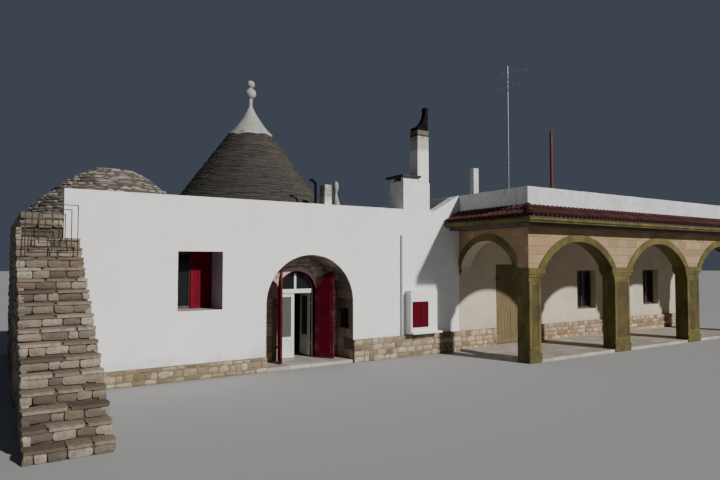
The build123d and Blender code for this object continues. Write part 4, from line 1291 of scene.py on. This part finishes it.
def cornice():
    """A moulded fascia under the tiles, carried round the portico with mitred corners."""
    low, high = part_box("eave_cornice")
    reach = wing_low.x - low.x
    base, top = low.z, high.z
    moulding = [
        (SOFFIT_INSET, FASCIA_HEIGHT), (0.050, FASCIA_HEIGHT), (0.050, 0.100), (0.038, 0.092),
        (0.026, 0.078), (0.012, 0.072), (0.002, 0.060), (0.000, 0.046), (0.002, 0.032), (0.010, 0.022),
        (0.010, 0.0),
    ]
    profile = [
        (0.0, base), (reach - 0.21, base), (reach - SOFFIT_INSET, base + 0.012),
        *[(reach - inset, top - drop) for inset, drop in moulding], (0.0, top),
    ]
    x0, x1, y = wing_low.x, wing_high.x, wing_low.y
    path = [Vector((x, y, 0)) for x, y in ((x0, FRONT), (x0, y), (x1, y), (x1, FRONT))]
    points = []
    for i, p in enumerate(path):
        runs = [b - a for a, b in zip(path, path[1:])][max(0, i - 1):i + 1]
        directions = [run.normalized() for run in runs]
        out = sum((Vector((d.y, -d.x, 0)) for d in directions), Vector()) / len(directions)
        out = out / out.length_squared
        points += [p + out * away + Vector((0, 0, level)) for away, level in profile]
    mesh = made_mesh("moulded_cornice", points, tube_faces(len(path), len(profile)))
    made = piece("moulded_cornice", mesh, "ochre_render", OCHRE, smooth=30)
    # Faces below the moulding take the soffit's brown, which is painted shade under it.
    second_look(mesh, SOFFIT_PAINTED_SHADE, lambda face: face.center.z < top - 0.11)
    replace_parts(made, "eave_cornice")


def tile_shell(length, radius0, radius1, up=1, segments=6):
    """One curved tile of even thickness, lying along x from its lower end."""
    points = []
    for x, radius in ((0, radius0), (length, radius1)):
        for r in (radius, radius - TILE_THICKNESS):
            for i in range(segments + 1):
                angle = math.pi * i / segments
                points.append((x, -r * math.cos(angle), up * r * 0.85 * math.sin(angle)))
    n = segments + 1
    faces = []
    for i in range(segments):
        faces.append((i, i + 1, 2 * n + i + 1, 2 * n + i))
        faces.append((n + i, 3 * n + i, 3 * n + i + 1, n + i + 1))
        faces.append((i, n + i, n + i + 1, i + 1))
        faces.append((2 * n + i, 2 * n + i + 1, 3 * n + i + 1, 3 * n + i))
    faces += [(0, 2 * n, 3 * n, n), (n - 1, 2 * n - 1, 4 * n - 1, 3 * n - 1)]
    return np.array(points), faces


def lay_tile(solids, base, axes, shell, lift, tone):
    """One tile on a slope, whose lower end is tilted up over the next."""
    up, across, out = axes
    points, faces = shell
    raised = points[:, 2] + TILE_TILT * (1 - points[:, 0] / TILE_LENGTH) + lift
    where = base + np.outer(points[:, 0], up) + np.outer(points[:, 1], across)
    solids.add(where + np.outer(raised, out), faces, tone)


def tiled_side(start, along, inward, length, cuts, seed):
    """Rows of cover and channel tiles over one side of the eave, cut at its hips."""
    reach = wing_low.x - tiles_low.x
    rise = tiles_high.z - tiles_low.z
    slope = math.hypot(reach, rise)
    up = (Vector(inward) * reach + Vector((0, 0, rise))).normalized()
    along = Vector(along)
    out = up.cross(along) if up.cross(along).z > 0 else along.cross(up)
    draw = random.Random(seed)
    solids = Solids()
    columns = round(length / TILE_PITCH)
    for column in range(columns):
        for sign, shift, set_back, lift in ((-1, 1.0, 0.0, 0.070), (1, 0.5, 0.012, 0.030)):
            if sign < 0 and column == columns - 1:
                continue
            middle = (column + shift) * (length / columns)
            for row in range(math.ceil(slope / TILE_STEP)):
                first = row * TILE_STEP + set_back + EAVE_SET_BACK
                size = min(TILE_LENGTH, slope - first - 0.01)
                if size < SHORTEST_TILE:
                    continue
                radius = TILE_RADIUS * draw.uniform(0.97, 1.03)
                place = middle + draw.uniform(-0.004, 0.004)
                base = np.array(start) + np.array(along) * place + np.array(up) * first
                shell = tile_shell(size, radius, TILE_RADIUS * 0.86, sign)
                tone = min(1, max(0, draw.gauss(0.45, 0.22)))
                lay_tile(solids, base, (up, along, out), shell, lift, tone)
    mesh = solids.mesh("tiles")
    with opened(mesh) as shape:
        for point, normal in cuts:
            geometry = [*shape.verts, *shape.edges, *shape.faces]
            bmesh.ops.bisect_plane(
                shape, geom=geometry, plane_co=point, plane_no=normal, clear_outer=True
            )
    return mesh


def eave_tiles():
    """Barrel tiles on the three sides of the eave, and a ridge of tiles on each hip."""
    low, high = tiles_low, tiles_high
    left, right = Vector((low.x, low.y, low.z)), Vector((high.x, low.y, low.z))
    to_left, to_right = Vector((-1, 1, 0)).normalized(), Vector((1, 1, 0)).normalized()
    side = FRONT - low.y
    for name, *run in (
        ("front", left, RIGHT, BACK, high.x - low.x, [(left, to_left), (right, to_right)], 61),
        ("left", left, BACK, RIGHT, side, [(left, -to_left)], 67),
        ("right", right, BACK, LEFT, side, [(right, -to_right)], 71),
    ):
        piece(f"{name}_tiles", tiled_side(*run), "roof_tile", TILE, smooth=50)
    draw = random.Random(73)
    ridge = Solids()
    reach = wing_low.x - low.x
    rise = high.z - low.z
    slope = math.sqrt(2 * reach * reach + rise * rise)
    for corner, turn in ((left, Vector((1, 1, 0))), (right, Vector((-1, 1, 0)))):
        up = (turn * reach + Vector((0, 0, rise))).normalized()
        across = up.cross(Vector(UP)).normalized()
        first = HIP_SET_BACK
        while first < slope - 0.1:
            size = min(TILE_LENGTH, slope - first)
            shell = tile_shell(size, TILE_RADIUS * 1.12, TILE_RADIUS * 0.98)
            base = np.array(corner) + np.array(up) * first
            axes = up, across, across.cross(up)
            lay_tile(ridge, base, axes, shell, 0.055, draw.uniform(0.1, 0.7))
            first += TILE_STEP
    ridge.piece("hip_tiles", "roof_tile", TILE, smooth=50)


# Doors and windows

def arch_rings(inner, outer, y0, y1, start=math.pi, end=0.0, foot=None, ragged=0.0):
    """Rings of a strip along the door's round top, and down both jambs to a foot."""
    stations = []
    for part in range(ARCH_PARTS + 1):
        angle = start + (end - start) * part / ARCH_PARTS
        stations.append((math.cos(angle), math.sin(angle), DOOR_SPRINGING))
    if foot is not None:
        for level in ((foot + DOOR_SPRINGING) / 2, foot):
            stations = [(-1.0, 0.0, level), *stations, (1.0, 0.0, level)]
    points = []
    for across, up, level in stations:
        edge = outer + ragged * noise.noise(Vector((across * 3, up * 3, level * 5)))
        points += [
            (ARCH_CENTRE + r * across, y, level + r * up)
            for r, y in ((inner, y0), (edge, y0 + ragged * 0.3), (edge, y1), (inner, y1))
        ]
    return points, tube_faces(len(stations), 4)


def door_surround():
    """A pale plaster band over the door and the crimson stop behind the outer leaves."""
    outer = DOOR_RADIUS + 0.004
    band = arch_rings(
        outer, BAND_RADIUS, RECESS_BACK - 0.022, RECESS_BACK + 0.02,
        foot=DOOR_SPRINGING - 0.12, ragged=0.03,
    )
    piece("pale_arch_band", made_mesh("pale_arch_band", *band), "white_plaster", RECESS_PINK)
    front = RECESS_BACK + LEAF_THICKNESS + 0.006
    stop = arch_rings(DOOR_RADIUS - STOP_WIDTH, outer, front, frame_low.y, foot=THRESHOLD)
    piece("crimson_door_stop", made_mesh("crimson_door_stop", *stop), "red_wood", CRIMSON_EDGE)


def hung(solids, door, side, part, slot, look, angle=0):
    """A piece drawn on the closed leaf, turned with it about its hinge."""
    name = f"{door}_{side}_{part}"
    mesh = solids.mesh(name)
    hinge = next(j for j in frame["joints"] if j["name"] == f"{door}_{side}_swing")
    pivot = Vector(hinge["pos_m"])
    pivot.z = 0
    turn = Matrix.Translation(pivot) @ Matrix.Rotation(math.radians(angle), 4, "Z")
    mesh.transform(turn @ Matrix.Translation(-pivot))
    piece(name, mesh, slot, look, body=f"{door}_door_{side}")


def round_topped(boards, trims, x0, x1, faces, low):
    """Upright boards under the door's round top, with beading along all their edges."""
    radius = DOOR_RADIUS - PANEL_BORDER
    count = round((x1 - x0) / BOARD_WIDTH)
    step = (x1 - x0) / count

    def top(x):
        return DOOR_SPRINGING + math.sqrt(max(0, radius ** 2 - (x - ARCH_CENTRE) ** 2))

    angles = [math.acos(max(-1, min(1, (x - ARCH_CENTRE) / radius))) for x in (x0, x1)]
    for (y0, y1), (a, b) in faces:
        for board in range(count):
            left, right = x0 + board * step + 0.001, x0 + (board + 1) * step - 0.001
            ring = ((left, y0), (right, y0), (right, y1), (left, y1))
            points = [(x, y, low) for x, y in ring] + [(x, y, top(x)) for x, y in ring]
            boards.add(points, tube_faces(2, 4), board / count)
        bead = low + BEAD_WIDTH
        trims.block(x0, x1, a, b, low, bead, 0.003)
        for x in (x0, x1 - BEAD_WIDTH):
            trims.block(x, x + BEAD_WIDTH, a, b, bead, min(top(x), top(x + BEAD_WIDTH)), 0.003)
        trims.add(*arch_rings(radius - BEAD_WIDTH, radius, a, b, *angles))


def outer_leaves():
    """Boards and beading on both faces of the two red leaves."""
    inset = LEAF_GAP + PANEL_BORDER
    front = RECESS_BACK
    back = front + LEAF_THICKNESS
    low, high = THRESHOLD + PANEL_BORDER, RAIL_HEIGHT - PANEL_BORDER / 2
    sunk = PANEL_SINK + BOARD_PROUD
    faces = [
        ((front - BOARD_PROUD, front + sunk), (front - BEAD_PROUD, front + PANEL_SINK)),
        ((back - sunk, back + BOARD_PROUD), (back - PANEL_SINK, back + BEAD_PROUD)),
    ]
    for side, sign in (("left", 1), ("right", -1)):
        jamb = ARCH_CENTRE - sign * DOOR_RADIUS
        x0, x1 = sorted((jamb + sign * inset, ARCH_CENTRE - sign * inset))
        boards = Solids()
        trims = Solids()
        for (y0, y1), (a, b) in faces:
            boards.boards(x0, x1, y0, y1, low, high)
            trims.beading(x0 - 0.002, x1 + 0.002, a, b, low - 0.002, high + 0.002)
        round_topped(boards, trims, x0, x1, faces, RAIL_HEIGHT + PANEL_BORDER / 2)
        angle = -sign * OUTER_ANGLES[side]
        hung(boards, "outer", side, "boards", "red_wood", RED_WOOD, angle)
        hung(trims, "outer", side, "beading", "red_wood", RED_FRAME, angle)


def inner_leaves():
    """Beading round the glass and the panel of the white leaves."""
    back = frame_high.y
    front = back - INNER_THICKNESS
    for side, sign in (("left", 1), ("right", -1)):
        jamb = ARCH_CENTRE - sign * (DOOR_RADIUS - FRAME_WIDTH)
        x0, x1 = sorted((jamb + sign * LEAF_GAP, ARCH_CENTRE - sign * LEAF_GAP))
        x0, x1 = x0 + INNER_BORDER, x1 - INNER_BORDER
        trims = Solids()
        for low, high in INNER_PANELS:
            for a, b in ((front - 0.004, front + 0.01), (back - 0.01, back + 0.004)):
                trims.beading(x0, x1, a, b, low - 0.002, high + 0.002, 0.014)
        hung(trims, "inner", side, "beading", "white_wood", WHITE_WOOD, sign * INNER_ANGLES[side])


def porch_leaves():
    """Boards and beading on the brown door under the portico."""
    jamb = LEAF_GAP + 0.010
    half_rail = PANEL_BORDER / 2
    for side in ("left", "right"):
        low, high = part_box(f"porch_leaf_{side}")
        x0 = low.x + PANEL_BORDER + (jamb if side == "left" else 0)
        x1 = high.x - PANEL_BORDER - (jamb if side == "right" else 0)
        boards = Solids()
        trims = Solids()
        for z0, z1 in (
            (THRESHOLD + PANEL_BORDER, RAIL_HEIGHT - half_rail),
            (RAIL_HEIGHT + half_rail, high.z - PANEL_BORDER),
        ):
            sunk = FRONT + PANEL_SINK
            boards.boards(x0, x1, FRONT + 0.004, sunk + BOARD_PROUD, z0, z1, 0.16)
            trims.beading(x0, x1, FRONT - BOARD_PROUD, sunk, z0, z1, 0.02)
        hung(boards, "porch", side, "boards", "brown_wood", BROWN_WOOD)
        hung(trims, "porch", side, "beading", "brown_wood", BROWN_WOOD)


def window_trims():
    """The boards of the red shutter and the ribs of the cupboard's door."""
    low, high = shutter_low, shutter_high
    boards = Solids()
    boards.boards(
        low.x + PANEL_BORDER, high.x - PANEL_BORDER,
        low.y + BOARD_PROUD, low.y + PANEL_SINK + BOARD_PROUD,
        low.z + PANEL_BORDER, high.z - PANEL_BORDER, 0.08,
    )
    boards.piece("shutter_boards", "red_wood", SHUTTER_RED)
    low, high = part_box("cupboard_door")
    middle = (low.x + high.x) / 2
    ribs = Solids()
    for x0, x1 in ((low.x + 0.03, middle - 0.006), (middle + 0.006, high.x - 0.03)):
        ribs.beading(x0, x1, low.y - 0.006, low.y + 0.004, low.z + 0.03, high.z - 0.03)
    ribs.piece("cupboard_door_ribs", "red_metal", RED_DOOR)


def packed_looks():
    """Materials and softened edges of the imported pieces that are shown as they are."""
    for look, rounding, *names in (
        (MORTAR, 0, "trullo_cone", "eave_tiles"), (CREAM_MORTAR, 0, "stone_plinth"),
        (ASHLAR, 0, "arcade_wall_1", "arcade_wall_2", "arcade_wall_3", "side_arch_walls"),
        (OCHRE, 0.008, "front_arch_bands", "side_arch_bands", "portico_pillars"),
        (SLABS, 0, "main_floor", "wing_floor"), (DARK_SLAB_AND_SHADE, 0.005, "chimney_slabs"),
        (SOOTY_METAL, 0, "chimney_cowl", "roof_vent"), (RED_STEEL, 0, "roof_pipe"),
        (MAST_METAL, 0, "aerial_mast"), (GREY_PIPE, 0, "wall_pipe"), (IRON, 0, "hinge_pins"),
        (IRON, 0.005, "stair_railing"), (RED_FRAME, 0.003, "outer_leaf_left", "outer_leaf_right"),
        (WHITE_WOOD, 0.003, "inner_leaf_left", "inner_leaf_right"),
        (WHITE_WOOD, 0.004, "inner_door_frame"),
        (DOOR_GLASS, 0, "inner_pane_left", "inner_pane_right"),
        (BROWN_WOOD, 0.003, "porch_leaf_left", "porch_leaf_right"),
        (WINDOW_WOOD, 0.004, "window_frames"), (GLASS, 0, "window_panes"),
        (SHUTTER_RED, 0.003, "window_shutter"), (RED_DOOR, 0.004, "cupboard_door"),
    ):
        for name in names:
            dress(name, look, rounding)
    second_look(nodes["side_arch_bands"].data, PORCH_WHITE, lambda face: abs(face.normal.x) < 0.5)
    # Faces below the cap keep the dark slab colour, painted shade on the thin slab under the cap.
    cap_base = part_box("chimney_stack")[1].z + 0.045
    second_look(nodes["chimney_slabs"].data, CAP_OCHRE, lambda face: face.center.z > cap_base)
    modify(nodes["hinge_pins"], "WELD", merge_threshold=WELD)
    modify(nodes["hinge_pins"], "DISPLACE", mid_level=0, strength=-PIN_WEAR)


def studio():
    """Camera at the photograph's place, a soft sun, a pale sky and a pale floor."""
    camera = bpy.data.cameras.new("camera")
    camera.lens = CAMERA_LENS
    camera.clip_end = 500
    view = placed("camera", camera)
    view.location = CAMERA_PLACE
    view.rotation_euler = [math.radians(a) for a in CAMERA_TURN]
    bpy.context.scene.camera = view
    sun = bpy.data.lights.new("sun", "SUN")
    sun.energy = SUN_STRENGTH
    sun.angle = math.radians(SUN_ANGLE)
    sun.color = SUN_COLOUR
    placed("sun", sun).rotation_euler = Vector(SUN_TRAVEL).to_track_quat("-Z", "Y").to_euler()
    world = bpy.data.worlds.new("sky")
    world.use_nodes = True
    background = world.node_tree.nodes["Background"]
    background.inputs["Color"].default_value = (*SKY_COLOUR, 1)
    background.inputs["Strength"].default_value = SKY_STRENGTH
    bpy.context.scene.world = world
    half = FLOOR_SIZE / 2
    mesh = bpy.data.meshes.new("floor")
    corners = [(x * half, y * half, 0) for x, y in ((-1, -1), (1, -1), (1, 1), (-1, 1))]
    mesh.from_pydata(corners, [], [(0, 1, 2, 3)])
    mesh.materials.append(Surface("pale_floor", FLOOR_COLOUR, 0.95).done())
    floor = placed("floor", mesh)
    floor.location.z = -FLOOR_DROP


studio()
main_masonry()
wing_masonry()
small_masonry()
bulb_pinnacle()
cap_plaster()
ball_finial()
cone_stones()
dome_stones()
stair_stones()
wall_stones()
arch_lining()
recess_back()
pillar_panels()
cornice()
eave_tiles()
door_surround()
outer_leaves()
inner_leaves()
porch_leaves()
window_trims()
packed_looks()
